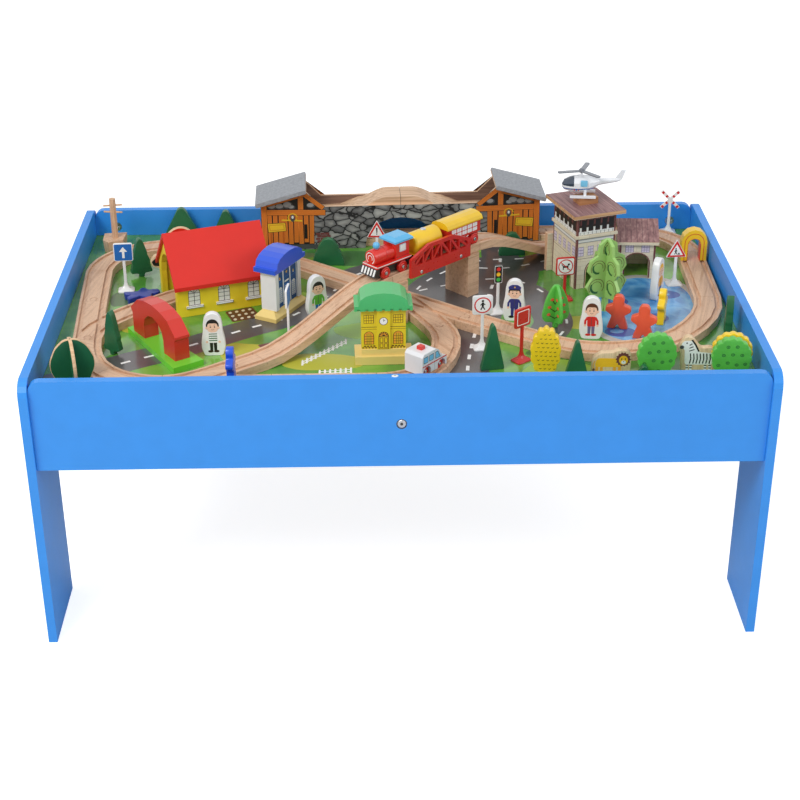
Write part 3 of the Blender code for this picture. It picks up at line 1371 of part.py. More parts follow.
TALL = [(0.005, 0), (0.013, 0.018), (0.019, 0.034), (0.016, 0.054), (0.008, 0.066), (0, 0.070)]


def scaled(half, wide, tall):
    return [(u * wide, v * tall) for u, v in half]


def trees():
    return [
        slab(scaled(FIR, 0.8, 1.0), BOARD_THICK, (-0.392, -0.138, -30)),
        crossed(scaled(DISC, 1.08, 1.12), 0.0045, (-0.430, -0.239, 17)),
        slab(scaled(FIR, 1.0, 0.95), BOARD_THICK, (-0.386, 0.128, 20)),
        slab(scaled(POINTED, 1.9, 0.95), BOARD_THICK, (-0.338, 0.277, 3)),
        slab(scaled(POINTED, 1.5, 0.85), BOARD_THICK, (-0.268, 0.278, 0)),
        slab(scaled(POINTED, 1.0, 1.22), BOARD_THICK, (0.124, -0.198, 10)),
        slab(POINTED, BOARD_THICK, (0.234, -0.227, 0)),
        slab(scaled(FIR, 0.75, 0.98), BOARD_THICK, (0.459, -0.110, 82)),
        slab(DOME, BOARD_THICK, (0.108, 0.178, 2)),
        slab(DOME, BOARD_THICK, (-0.104, 0.196, 0)),
        crossed(FRUIT, 0.0045, (0.222, -0.072, 20)),
        slab(BUSHY, SLAB_THICK, (0.341, -0.234, 4)),
        slab(BUSHY, SLAB_THICK, (0.431, -0.239, -4)),
        slab(scaled(BUSHY, 1.0, 1.08), BOARD_THICK, (0.439, -0.214, -8)),
        slab(TALL, SLAB_THICK, (0.193, -0.218, -6)),
    ]


PAWN = [
    (0, 0.0080), (0.0040, 0), (0.0150, 0), (0.0085, 0.0200), (0.0185, 0.0270), (0.0175, 0.0330),
    (0.0070, 0.0370),
]
PAWN += [(0.0085, 0.0440), (0.0045, 0.0505), (0, 0.0510)]
PERSON = [(0.0125, 0), (0.0165, 0.0120), (0.0160, 0.0220), (0.0134, 0.0360), (0.0128, 0.0480)]
PERSON += [(0.0112, 0.0555), (0.0076, 0.0608), (0.0026, 0.0629), (0, 0.0630)]


def pawn():
    """A flat wooden figure, with a notch between its feet."""
    return prism(symmetric(PAWN), -BOARD_THICK / 2, BOARD_THICK / 2, "Y")


def figures():
    people = []
    for spot in (
        (-0.254, -0.143, 2),
        (-0.116, -0.022, 30),
        (0.166, -0.044, -6),
        (0.268, -0.106, -6),
        (0.381, 0.026, 62),
    ):
        people.append(slab(PERSON, BOARD_THICK, spot))
    for spot in ((0.310, -0.075, -14), (0.341, -0.110, -14), (0.375, -0.057, 72)):
        people.append(stand_at(pawn(), spot, ROOTED))
    flat = moved(pawn(), z=BOARD_THICK / 2, lean=(90, "X"))
    people.append(stand_at(flat, (-0.397, 0.033, 112), ROOTED))
    return people


LION = [(0.022, 0), (0.022, 0.0240), (0.017, 0.0290), (0.007, 0.0290), (0.002, 0.0260), (-0.012, 0.0255)]
LION += [(-0.021, 0.0180), (-0.022, 0)]
ZEBRA = [(0.021, 0), (0.022, 0.0260), (0.016, 0.0320), (0.004, 0.0310), (-0.006, 0.0440), (-0.013, 0.0450)]
ZEBRA += [(-0.022, 0.0310), (-0.018, 0.0240), (-0.016, 0)]
HORSE = [(0.014, 0), (0.016, 0.0260), (0.004, 0.0420), (-0.010, 0.0420), (-0.017, 0.0330), (-0.014, 0.0250)]
HORSE += [(-0.004, 0.0220), (-0.002, 0)]


def animals():
    herd = []
    for outline, spot in (
        (LION, (0.277, -0.228, -3)),
        (ZEBRA, (0.394, -0.232, -3)),
        (HORSE, (-0.352, 0.110, 10)),
    ):
        herd.append(stand_at(prism(outline, -BOARD_THICK / 2, BOARD_THICK / 2, "Y"), spot, ROOTED))
    return herd


def build_scenery():
    """The printed sheet on the playboard, with the small scenery standing fixed on it."""
    x_reach = END_INNER - WOOD_GAP
    y_reach = RAIL_INNER - WOOD_GAP
    sheet = box(-x_reach, x_reach, -y_reach, y_reach, TRAY_TOP + SEAT, SHEET_TOP)
    add_part("scenery_sheet", fused(sheet, *signs(), *trees(), *figures(), *animals()), LEAF_PAINT)
    leafy = crossed(LEAFY, 0.0050, (0.299, -0.017, 25), GROUND)
    add_part("leafy_tree", leafy, LEAF_PAINT)


build_table()
build_track()
build_house()
build_bank()
build_station()
build_tower()
build_garage()
build_mine()
build_loco()
build_tank()
build_coach()
build_ambulance()
build_helicopter()
build_red_arch()
build_yellow_arch()
build_pole()
build_scenery()
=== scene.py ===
"""Looks of a children's activity table with a tray top and a wooden railway play set.

Every new shape is a profile carried along a short path, worked out as whole arrays in millimetres.
Prints are closed films of ink a few hundredths of a millimetre thick. A toy's own frame is a matrix
whose columns are along it, up it, and out of its front. Materials read the scene's metres.
"""

import math

import bpy
import numpy as np
from mathutils import Matrix


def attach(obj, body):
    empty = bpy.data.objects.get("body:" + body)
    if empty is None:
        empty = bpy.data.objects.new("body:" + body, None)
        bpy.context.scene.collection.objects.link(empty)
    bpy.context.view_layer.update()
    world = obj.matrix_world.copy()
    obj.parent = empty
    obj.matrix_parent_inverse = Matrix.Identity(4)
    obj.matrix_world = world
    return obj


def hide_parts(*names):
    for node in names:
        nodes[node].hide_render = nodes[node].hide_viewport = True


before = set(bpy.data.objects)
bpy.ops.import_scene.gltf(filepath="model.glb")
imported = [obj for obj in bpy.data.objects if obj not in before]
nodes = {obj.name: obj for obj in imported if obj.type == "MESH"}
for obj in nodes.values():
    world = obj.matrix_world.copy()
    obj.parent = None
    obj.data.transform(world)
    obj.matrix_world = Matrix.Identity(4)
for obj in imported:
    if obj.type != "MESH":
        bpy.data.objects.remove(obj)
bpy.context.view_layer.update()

# Levels and thicknesses in millimetres, then the spots of the toys: x, y and heading

MM = 0.001
TRAY_TOP = 359
SHEET_TOP = 359.9
GROUND = 360.2
TRACK_TOP = 372.2
RIM_TOP = 402
DECK_FOOT = 426.5
DECK_TOP = 438.5
INK = 0.07
SINK = 0.2

HOUSE = (-314.5, -26.9, 20)
BANK = (-168.3, -3, 61)
STATION = (-22, -163, 2)
TOWER = (264, 57, 19)
GARAGE = (334.5, 98, -3)
MINE = (10, 228.5, 2)
YELLOW_ARCH = (454, 140, 0)
VAN = (33.5, -224, 49)
BRIDGE = (-21, -51.9, 42.9)
TRAIN_HEADING = BRIDGE[2] + 180
COPTER = (280.9, 104.6, 174)
COPTER_LEVEL = 491.1


def deck_spot(distance):
    """A point on the bridge's middle line."""
    x, y, heading = BRIDGE
    turn = math.radians(heading)
    return x + distance * math.cos(turn), y + distance * math.sin(turn)


LOCO, TANK, COACH = (deck_spot(distance) for distance in (8, 79, 149))


def turned_by(spot, turn):
    """The same spot, facing another way."""
    x, y, heading = spot
    return x, y, heading + turn


# Materials

def tone(red, green, blue):
    """A colour as a screen shows it, from 0 to 255, turned into linear light."""
    share = np.array([red, green, blue]) / 255.0
    light = np.where(share <= 0.04045, share / 12.92, ((share + 0.055) / 1.055) ** 2.4)
    return (*light.tolist(), 1.0)


class Wire:
    """A shader socket that takes part in sums. Each operation adds one Math node."""

    def __init__(self, finish, socket):
        self.finish = finish
        self.socket = socket

    def sum_with(self, operation, first, second):
        return self.finish.node("ShaderNodeMath", {"operation": operation}, {0: first, 1: second})

    def __add__(self, other):
        return self.sum_with("ADD", self, other)

    def __sub__(self, other):
        return self.sum_with("SUBTRACT", self, other)

    def __rsub__(self, other):
        return self.sum_with("SUBTRACT", other, self)

    def __mul__(self, other):
        return self.sum_with("MULTIPLY", self, other)

    def __truediv__(self, other):
        return self.sum_with("DIVIDE", self, other)

    def __gt__(self, other):
        return self.sum_with("GREATER_THAN", self, other)

    def __lt__(self, other):
        return self.sum_with("LESS_THAN", self, other)


CLOUD_SCALE = 34.0
PEEL_SCALE = 260.0


class Finish:
    """A material under construction, on the object's own coordinates."""

    def __init__(self, name, roughness, metallic=0.0, coat=0.0):
        self.material = bpy.data.materials.new(name)
        self.material.use_nodes = True
        self.tree = self.material.node_tree
        self.shader = self.tree.nodes["Principled BSDF"]
        self.shader.inputs["Roughness"].default_value = roughness
        self.shader.inputs["Metallic"].default_value = metallic
        self.shader.inputs["Coat Weight"].default_value = coat
        self.shader.inputs["Coat Roughness"].default_value = 0.12

    def node(self, kind, settings=None, inputs=None, out=0):
        """Adds a node: its settings first, then the values or links of its sockets."""
        item = self.tree.nodes.new(kind)
        for key, value in (settings or {}).items():
            setattr(item, key, value)
        for key, value in (inputs or {}).items():
            if isinstance(value, Wire):
                self.tree.links.new(value.socket, item.inputs[key])
            else:
                item.inputs[key].default_value = value
        return Wire(self, item.outputs[out])

    def place(self):
        return self.node("ShaderNodeTexCoord", out="Object")

    def axes(self, vector):
        """The three numbers of a vector."""
        parts = self.node("ShaderNodeSeparateXYZ", None, {0: vector})
        item = parts.socket.node
        return [Wire(self, item.outputs[index]) for index in range(3)]

    def turned(self, vector, heading, scale):
        """Coordinates turned about the vertical, then stretched, for a grain along a heading."""
        spun = self.node("ShaderNodeMapping", None,
                         {0: vector, "Rotation": (0.0, 0.0, -math.radians(heading))})
        return self.node("ShaderNodeMapping", None, {0: spun, "Scale": scale})

    def noise(self, vector, scale, detail=2.0, distortion=0.0):
        return self.node("ShaderNodeTexNoise", None,
                         {"Vector": vector, "Scale": scale, "Detail": detail, "Distortion": distortion})

    def ramp(self, factor, *stops):
        """A factor turned into colours: stops of place and colour."""
        item = self.tree.nodes.new("ShaderNodeValToRGB")
        line = item.color_ramp.elements
        while len(line) < len(stops):
            line.new(0.5)
        for element, (spot, colour) in zip(line, stops):
            element.position = spot
            element.color = colour
        self.tree.links.new(factor.socket, item.inputs[0])
        return Wire(self, item.outputs[0])

    def mix(self, factor, first, second):
        return self.node("ShaderNodeMix", {"data_type": "RGBA"}, {0: factor, 6: first, 7: second}, out=2)

    def wear(self, socket, value):
        self.tree.links.new(value.socket, self.shader.inputs[socket])

    def colour(self, value):
        self.wear("Base Color", value)

    def relief(self, height, strength, distance):
        self.wear("Normal", self.node("ShaderNodeBump", None,
                                      {"Height": height, "Strength": strength, "Distance": distance}))

    def aged(self, spot, body, share, dirt):
        """A paint colour with faint clouds of dirt, over an orange peel."""
        self.colour(self.mix(self.noise(spot, CLOUD_SCALE, 3.0) * share, body, dirt))
        self.relief(self.noise(spot, PEEL_SCALE, 2.0), 0.12, 0.0004)
        return self.material


def shade(colour, share):
    """A colour made darker or lighter."""
    return (*[min(1.0, part * share) for part in colour[:3]], 1.0)


def painted(name, colour, roughness=0.38, coat=0.25, mottle=0.07, brush=PEEL_SCALE):
    """Sprayed paint on wood: faint cloudy patches, a fine orange peel and slightly dull spots."""
    paint = Finish(name, roughness, coat=coat)
    spot = paint.place()
    cloud = paint.noise(spot, CLOUD_SCALE, 3.0)
    paint.colour(paint.ramp(cloud, (0.3, shade(colour, 1 - mottle)), (0.7, shade(colour, 1 + mottle))))
    peel = paint.noise(spot, brush, 2.0)
    paint.wear("Roughness", peel * 0.16 + (roughness - 0.08))
    paint.relief(peel, 0.12, 0.0004)
    return paint.material


def timber(name, light, dark, heading=0.0, upright=False):
    """Bare wood: long streaks along the grain, short dark flecks, and pores in the relief."""
    wood = Finish(name, 0.5)
    spot = wood.place()
    along = (260.0, 260.0, 16.0) if upright else (12.0, 210.0, 210.0)
    streak = wood.noise(wood.turned(spot, heading, along), 1.0, 4.0, 0.6)
    fleck_scale = (900.0, 900.0, 130.0) if upright else (150.0, 900.0, 900.0)
    fleck = wood.noise(wood.turned(spot, heading, fleck_scale), 1.0, 1.0)
    broad = wood.noise(spot, 14.0, 2.0)
    body = wood.ramp(streak * 0.75 + broad * 0.25, (0.30, dark), (0.52, light), (0.72, shade(light, 1.06)))
    wood.colour(wood.mix((fleck > 0.63) * 0.35, body, shade(dark, 0.72)))
    wood.relief(streak * 0.6 + fleck * 0.4, 0.22, 0.0004)
    wood.wear("Roughness", streak * 0.2 + 0.4)
    return wood.material


def sheet_metal(name, colour, roughness=0.3):
    metal = Finish(name, roughness, metallic=1.0)
    spot = metal.place()
    smear = metal.noise(spot, 420.0, 2.0)
    metal.colour(metal.ramp(smear, (0.3, shade(colour, 0.85)), (0.7, colour)))
    metal.wear("Roughness", smear * 0.25 + (roughness - 0.1))
    metal.relief(smear, 0.08, 0.0003)
    return metal.material


def ink(name, colour, roughness=0.42):
    """Printed ink: a flat colour with a faint fine mottle of the press."""
    print_ink = Finish(name, roughness)
    dots = print_ink.noise(print_ink.place(), 900.0, 2.0)
    print_ink.colour(print_ink.ramp(dots, (0.3, shade(colour, 0.94)), (0.7, shade(colour, 1.06))))
    print_ink.relief(dots, 0.05, 0.0002)
    return print_ink.material


# Shapes as arrays

def standing(x, y, heading, level):
    """The frame of an upright board: along it, up it, and out of its front face."""
    turn = math.radians(heading)
    along = (math.cos(turn), math.sin(turn), 0.0)
    out = (math.sin(turn), -math.cos(turn), 0.0)
    return np.array([along, (0.0, 0.0, 1.0), out]).T, np.array([x, y, level])


def lying(x, y, heading, level):
    """The frame of a flat print: along it, across it, and up."""
    turn = math.radians(heading)
    along = (math.cos(turn), math.sin(turn), 0.0)
    across = (-math.sin(turn), math.cos(turn), 0.0)
    return np.array([along, across, (0.0, 0.0, 1.0)]).T, np.array([x, y, level])


def shifted(place, along=0.0, up=0.0, out=0.0, spin=0.0, lean=0.0):
    """A frame moved within itself, then turned in its own face, then leant back about its first axis."""
    turn, origin = place
    origin = origin + turn @ np.array([along, up, out])
    c, s = math.cos(math.radians(spin)), math.sin(math.radians(spin))
    turn = turn @ np.array([[c, -s, 0], [s, c, 0], [0, 0, 1]])
    c, s = math.cos(math.radians(lean)), math.sin(math.radians(lean))
    return turn @ np.array([[1, 0, 0], [0, c, -s], [0, s, c]]), origin


def ellipse(cu, cv, ru, rv=None, count=24, start=0.0, sweep=360.0):
    """Points at even angles on an ellipse, or on part of one."""
    rv = ru if rv is None else rv
    closed_ring = sweep >= 360.0
    turns = np.radians(start + sweep * np.arange(count) / (count if closed_ring else count - 1))
    return np.stack([cu + ru * np.cos(turns), cv + rv * np.sin(turns)], 1)


def slab_outline(u0, v0, u1, v1):
    return np.array([(u0, v0), (u1, v0), (u1, v1), (u0, v1)], float)


def door(cu, foot, half, spring, rise=None, count=10):
    """Straight sides from the foot up to the spring, then half an ellipse."""
    rise = half if rise is None else rise
    top = ellipse(cu, spring, half, rise, count, 0.0, 180.0)
    return np.vstack([[(cu + half, foot)], top, [(cu - half, foot)]])


def band(points, width):
    """A line given a width: each point is pushed to both sides along the line's normal."""
    points = np.asarray(points, float)
    step = np.diff(points, axis=0)
    step /= np.linalg.norm(step, axis=1)[:, None]
    way = np.vstack([step, step[-1:]]) + np.vstack([step[:1], step])
    way /= np.linalg.norm(way, axis=1)[:, None]
    side = np.stack([-way[:, 1], way[:, 0]], 1) * width / 2
    return np.vstack([points + side, (points - side)[::-1]])


def flowing(points, steps=6, closed_line=True):
    """A smooth line through points: each span is the cubic through its four nearest points."""
    points = np.asarray(points, float)
    count = len(points)
    if closed_line:
        ring = np.vstack([points[-1:], points, points[:2]])
        spans = count
    else:
        ring = np.vstack([2 * points[:1] - points[1:2], points, 2 * points[-1:] - points[-2:-1]])
        spans = count - 1
    t = np.arange(steps)[None, :, None] / steps
    a, b, c, d = (ring[k:k + spans][:, None, :] for k in range(4))
    line = 0.5 * (2 * b + (c - a) * t + (2 * a - 5 * b + 4 * c - d) * t**2 + (3 * b - a - 3 * c + d) * t**3)
    line = line.reshape(-1, 2)
    return line if closed_line else np.vstack([line, points[-1:]])


def ring_of(outer, inner):
    """The area between two open lines, or between two outlines that start at the same side."""
    return np.vstack([outer, inner[::-1]])


def mirrored_outline(half):
    """A closed outline from its right half, listed from the foot to the top."""
    half = np.asarray(half, float)
    left = half[half[:, 0] > 0][::-1] * (-1, 1)
    return np.vstack([half, left])


def softened(outline, radius, steps=3):
    """Each corner of an outline replaced by a short curve that starts a radius before it."""
    outline = np.asarray(outline, float)
    before = np.roll(outline, 1, 0) - outline
    after = np.roll(outline, -1, 0) - outline
    near = np.minimum(np.linalg.norm(before, axis=1), np.linalg.norm(after, axis=1)) * 0.45
    reach = np.minimum(near, radius)[:, None]
    first = outline + before / np.linalg.norm(before, axis=1)[:, None] * reach
    last = outline + after / np.linalg.norm(after, axis=1)[:, None] * reach
    t = (np.arange(steps + 1) / steps)[None, :, None]
    curve = first[:, None] * (1 - t)**2 + outline[:, None] * 2 * t * (1 - t) + last[:, None] * t**2
    return curve.reshape(-1, 2)


def anticlockwise(outline):
    outline = np.asarray(outline, float)
    u, v = outline.T
    area = np.sum(u * np.roll(v, -1) - np.roll(u, -1) * v)
    return outline if area > 0 else outline[::-1]


def inset(outline, depth):
    """The outline pulled in by a depth along the mean normal of its two edges at each point."""
    edge = np.roll(outline, -1, 0) - outline
    edge /= np.maximum(np.linalg.norm(edge, axis=1)[:, None], 1e-9)
    normal = np.stack([-edge[:, 1], edge[:, 0]], 1)
    mean = normal + np.roll(normal, 1, 0)
    length = np.maximum(np.linalg.norm(mean, axis=1)[:, None], 1e-6)
    mean /= length
    lean = np.maximum(np.sum(mean * normal, 1)[:, None], 0.5)
    return outline + mean * depth / lean


def tube_of(rings):
    """Rings of equal count joined one to the next, closed with a flat face at both ends."""
    rings = np.asarray(rings, float)
    levels, count = rings.shape[:2]
    grid = np.arange(levels * count).reshape(levels, count)
    here, there = grid[:-1], np.roll(grid, -1, 1)[:-1]
    up_here, up_there = grid[1:], np.roll(grid, -1, 1)[1:]
    sides = np.stack([here, there, up_there, up_here], -1).reshape(-1, 4)
    faces = sides.tolist() + [grid[0][::-1].tolist(), grid[-1].tolist()]
    return rings.reshape(-1, 3), faces


def board_mesh(outline, low, high, edge=0.0):
    """An outline carried from low to high, its edge rounded by a quarter circle at both faces."""
    outline = anticlockwise(outline)
    if edge <= 0:
        levels = [(low, 0.0), (high, 0.0)]
    else:
        turn = np.linspace(0, math.pi / 2, 4)
        levels = [(low + edge - edge * math.cos(a), edge - edge * math.sin(a)) for a in turn]
        levels += [(high - edge + edge * math.sin(a), edge - edge * math.cos(a)) for a in turn]
    rings = []
    for level, pull in levels:
        ring = inset(outline, pull) if pull > 0 else outline
        rings.append(np.column_stack([ring, np.full(len(ring), level)]))
    return tube_of(rings)


def spun_mesh(profile, count=24):
    """A line of radius and height turned about the third axis, closed with flat ends."""
    turns = 2 * np.pi * np.arange(count) / count
    ring = np.stack([np.cos(turns), np.sin(turns)], 1)
    rings = [np.column_stack([ring * radius, np.full(count, height)]) for radius, height in profile]
    return tube_of(rings)


SHEET_GROUPS = ("mat", "signs", "trees", "figures", "animals")
TABLE_GROUPS = (*SHEET_GROUPS, "bridge", "fittings", "track_pawn")
SMOOTH_ANGLE = math.radians(30)


class Pieces:
    """Meshes gathered by group and finish, made into one object each at the end."""

    def __init__(self):
        self.stock = {}

    def add(self, group, look, mesh, place):
        points, faces = mesh
        turn, origin = place
        store = self.stock.setdefault((group, look), {"points": [], "faces": [], "count": 0})
        store["points"].append(np.asarray(points) @ turn.T + origin)
        store["faces"] += [[index + store["count"] for index in face] for face in faces]
        store["count"] += len(points)

    def make(self):
        """One object for each group and finish, at the origin. It rides on its group's body."""
        for (group, look), store in self.stock.items():
            name = f"{group}_{look}"
            mesh = bpy.data.meshes.new(name)
            mesh.from_pydata((np.vstack(store["points"]) * MM).tolist(), [], store["faces"])
            mesh.update()
            mesh.shade_smooth()
            mesh.set_sharp_from_angle(angle=SMOOTH_ANGLE)
            mesh.materials.append(looks[look])
            piece = bpy.data.objects.new(name, mesh)
            bpy.context.scene.collection.objects.link(piece)
            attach(piece, "table" if group in TABLE_GROUPS else group)
            if group in SHEET_GROUPS:
                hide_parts("scenery_sheet")


pieces = Pieces()


class Pen:
    """Draws on one face of a group. Lengths run along the face, up it, and out of it.

    A print is a film of ink: it starts a little inside the face and ends a few layers above it.
    """

    def __init__(self, group, place):
        self.group = group
        self.place = place

    def moved(self, **shift):
        return Pen(self.group, shifted(self.place, **shift))

    def add(self, look, mesh):
        pieces.add(self.group, look, mesh, self.place)

    def area(self, look, layer, outline):
        self.add(look, board_mesh(outline, -SINK, INK * layer))

    def box(self, look, layer, u0, v0, u1, v1):
        self.area(look, layer, slab_outline(min(u0, u1), v0, max(u0, u1), v1))

    def bar(self, look, layer, centre, half, low, high):
        self.box(look, layer, centre - half, low, centre + half, high)

    def tile(self, look, layer, u0, v0, u1, v1, soft):
        """A box with softened corners."""
        self.area(look, layer, softened(slab_outline(u0, v0, u1, v1), soft))

    def panes(self, look, layer, corner, size, pitch, count):
        """Equal boxes in columns and rows, from the lower left corner."""
        for column in range(count[0]):
            for row in range(count[1]):
                u, v = corner[0] + column * pitch[0], corner[1] + row * pitch[1]
                self.box(look, layer, u, v, u + size[0], v + size[1])

    def dot(self, look, layer, cu, cv, ru, rv=None, count=24):
        self.area(look, layer, ellipse(cu, cv, ru, rv, count))

    def line(self, look, layer, points, width):
        self.area(look, layer, band(points, width))

    def arch(self, look, layer, *shape):
        self.area(look, layer, door(*shape))

    def block(self, look, outline, low, high, edge=0.6):
        """A solid board: an outline carried from low to high, with rounded edges."""
        self.add(look, board_mesh(outline, low, high, edge))

    def knob(self, look, profile, count=20):
        """A turned part: radii and heights, from the face outward."""
        self.add(look, spun_mesh(profile, count))


# Finishes

BEECH_LIGHT = tone(222, 184, 152)
BEECH_DARK = tone(190, 148, 116)

looks = {
    "zinc": sheet_metal("zinc", tone(206, 208, 214)),
    "steel": sheet_metal("steel", tone(190, 192, 198), 0.22),
    "cut_wood": timber("cut_wood", tone(226, 190, 150), tone(198, 154, 112), 0.0),
    "turned_wood": timber("turned_wood", tone(232, 204, 166), tone(204, 164, 122), 0.0, upright=True),
}
for name, colour, *texture in (
    ("blue_board", (48, 144, 232), 0.42, 0.12, 0.025, 900.0),
    ("cobalt", (20, 78, 208), 0.34),
    ("red", (218, 40, 26), 0.32),
    ("deep_red", (206, 38, 32), 0.3),
    ("roof_red", (214, 34, 20), 0.55, 0.05, 0.03, 900.0),
    ("yellow", (240, 196, 34), 0.32),
    ("wall_yellow", (236, 206, 30), 0.5, 0.05, 0.03, 900.0),
    ("sky", (96, 184, 232), 0.34),
    ("black", (26, 26, 28), 0.34),
    ("white", (238, 238, 238), 0.36),
    ("moss", (30, 100, 62), 0.42, 0.12, 0.1),
    ("leaf", (92, 190, 72), 0.38, 0.15, 0.1),
    ("light_leaf", (156, 200, 112), 0.4, 0.1, 0.06),
    ("orange", (232, 92, 62), 0.4, 0.15),
    ("canary", (246, 208, 30), 0.36),
    ("navy", (36, 56, 150), 0.34),
    ("rotor_grey", (126, 130, 138), 0.36),
):
    looks[name] = painted(name, tone(*colour), *texture)
for name, colour, *roughness in (
    ("ink_black", (24, 22, 22)),
    ("ink_brown", (92, 52, 34)),
    ("ink_dark_brown", (54, 34, 26)),
    ("ink_plank", (214, 122, 44)),
    ("ink_plank_dark", (178, 92, 32)),
    ("ink_gold", (226, 186, 44)),
    ("ink_white", (244, 244, 242)),
    ("ink_pale", (222, 222, 216)),
    ("ink_lilac", (212, 200, 214)),
    ("ink_red", (212, 40, 38)),
    ("ink_maroon", (112, 62, 60)),
    ("ink_blue", (26, 104, 184)),
    ("ink_deep_blue", (14, 78, 136)),
    ("ink_sky", (120, 196, 232)),
    ("ink_navy", (48, 52, 124)),
    ("ink_purple", (112, 100, 138)),
    ("ink_green", (96, 178, 62)),
    ("ink_dark_green", (40, 96, 52)),
    ("ink_skin", (244, 202, 176)),
    ("ink_grey", (128, 130, 132)),
    ("ink_stone", (150, 150, 150)),
    ("ink_dark_stone", (70, 72, 74)),
    ("ink_beige", (216, 206, 180)),
    ("ink_violet", (118, 118, 190)),
    ("ink_orange", (240, 166, 52)),
    ("ink_wood", (222, 186, 146)),
    ("ink_amber", (248, 190, 40)),
    ("ink_lamp_green", (62, 178, 74)),
    ("grass_light", (146, 190, 66), 0.28),
    ("grass_dark", (66, 116, 58), 0.28),
    ("grass_yellow", (184, 184, 62), 0.28),
    ("shore", (186, 184, 178), 0.28),
    ("lily", (64, 96, 168), 0.24),
    ("puddle", (140, 176, 134), 0.2),
    ("shadow_green", (88, 116, 74), 0.25),
):
    looks[name] = ink(name, tone(*colour), *roughness)


def local_mask(finish, spot, toy, level):
    """Along, across and up in a toy's own frame, in metres, from the object's coordinates."""
    x, y, z = finish.axes(spot)
    turn = math.radians(toy[2])
    c, s = math.cos(turn), math.sin(turn)
    dx, dy = x - toy[0] * MM, y - toy[1] * MM
    return dx * c + dy * s, dy * c - dx * s, z - level * MM


def mat_print():
    """The play mat: grass in broad soft patches, with a glossy film over it."""
    mat = Finish("play_mat_print", 0.26, coat=0.55)
    spot = mat.place()
    broad = mat.noise(spot, 6.5, 2.0, 0.4)
    patch = mat.noise(spot, 17.0, 3.0, 0.8)
    grass = mat.ramp(broad * 0.55 + patch * 0.45,
                     (0.36, tone(62, 126, 52)), (0.47, tone(86, 154, 58)), (0.56, tone(112, 178, 66)),
                     (0.68, tone(138, 190, 78)))
    blade = mat.noise(spot, 420.0, 2.0)
    mat.colour(mat.mix(blade * 0.22, grass, tone(58, 112, 44)))
    film = mat.noise(spot, 26.0, 2.0)
    mat.wear("Roughness", film * 0.12 + 0.16)
    mat.relief(film, 0.06, 0.001)
    return mat.material


def road_print():
    road = Finish("road_print", 0.3, coat=0.5)
    spot = road.place()
    grit = road.noise(spot, 700.0, 2.0)
    broad = road.noise(spot, 24.0, 2.0)
    road.colour(road.ramp(grit * 0.5 + broad * 0.5, (0.3, tone(66, 64, 66)), (0.7, tone(98, 95, 96))))
    road.relief(grit, 0.04, 0.0003)
    return road.material


def pond_print():
    """Pond water: soft ripples as rings bent by noise."""
    pond = Finish("pond_print", 0.2, coat=0.6)
    spot = pond.place()
    bend = pond.noise(spot, 22.0, 3.0, 1.2)
    pond.colour(pond.ramp(bend, (0.34, tone(54, 128, 196)), (0.5, tone(88, 164, 222)),
                          (0.62, tone(122, 188, 232))))
    pond.relief(bend, 0.05, 0.001)
    return pond.material


STONE_SCALE = 58.0
RIDGE_ALONG, ROOF_FALL, ROOF_FOOT = 0.150, 0.2794, 0.0971


def mine_board():
    """Printed stones on the upright faces: rounded cells with dark joints.

    The top is bare wood, the inner faces are wood with painted shade that darkens them towards the back, and
    the roofs are slate.
    """
    board = Finish("mine_board", 0.5)
    spot = board.place()
    stretched = board.node("ShaderNodeMapping", None, {0: spot, "Scale": (1.0, 1.0, 1.5)})
    bend = board.noise(stretched, 60.0, 2.0)
    wobble = board.node("ShaderNodeVectorMath", {"operation": "MULTIPLY_ADD"},
                        {0: Wire(board, bend.socket.node.outputs["Color"]), 1: (0.012,) * 3, 2: stretched})
    edge = board.node("ShaderNodeTexVoronoi", {"feature": "DISTANCE_TO_EDGE"},
                      {"Vector": wobble, "Scale": STONE_SCALE})
    cell = board.node("ShaderNodeTexVoronoi", {"feature": "F1"},
                      {"Vector": wobble, "Scale": STONE_SCALE}, out="Color")
    tint = board.axes(cell)[0]
    stone = board.ramp(tint * 0.5 + edge * 1.1, (0.0, tone(70, 70, 72)), (0.4, tone(116, 116, 116)),
                       (0.9, tone(172, 172, 168)))
    face = board.mix(edge > 0.055, tone(26, 26, 28), stone)
    along, across, level = local_mask(board, spot, MINE, GROUND)
    along = board.node("ShaderNodeMath", {"operation": "ABSOLUTE"}, {0: along})
    _, facing, up = board.axes(board.node("ShaderNodeNewGeometry", out="Normal"))
    streak = board.noise(board.turned(spot, MINE[2], (12.0, 260.0, 260.0)), 1.0, 3.0)
    wood = board.ramp(streak, (0.35, tone(190, 152, 118)), (0.6, tone(226, 190, 156)))
    # Painted shade: a darker brown stands in for the shade deep inside the tunnel
    dark = board.ramp(streak, (0.35, tone(104, 78, 66)), (0.65, tone(138, 108, 92)))
    face = board.mix((across > 0.003) * (facing < -0.4), face, wood)
    # Inner faces more than 47 mm behind the front face get the painted shade brown
    face = board.mix((across > 0.047) * (facing < -0.4), face, dark)
    face = board.mix(up > 0.25, face, wood)
    speck = board.noise(spot, 300.0, 3.0)
    slate = board.ramp(speck, (0.3, tone(136, 140, 146)), (0.7, tone(162, 165, 170)))
    above = level + (along - RIDGE_ALONG) * ROOF_FALL
    board.colour(board.mix((along > RIDGE_ALONG - 0.003) * (above > ROOF_FOOT), face, slate))
    board.relief(streak, 0.1, 0.0003)
    return board.material


def house_board():
    """Yellow walls with a faint grain."""
    board = Finish("house_board", 0.5)
    spot = board.place()
    cloud = board.noise(spot, 30.0, 2.0)
    board.colour(board.ramp(cloud, (0.3, tone(226, 198, 30)), (0.7, tone(244, 218, 48))))
    grain = board.noise(board.turned(spot, HOUSE[2], (14.0, 320.0, 320.0)), 1.0, 3.0)
    board.relief(grain, 0.12, 0.0003)
    return board.material


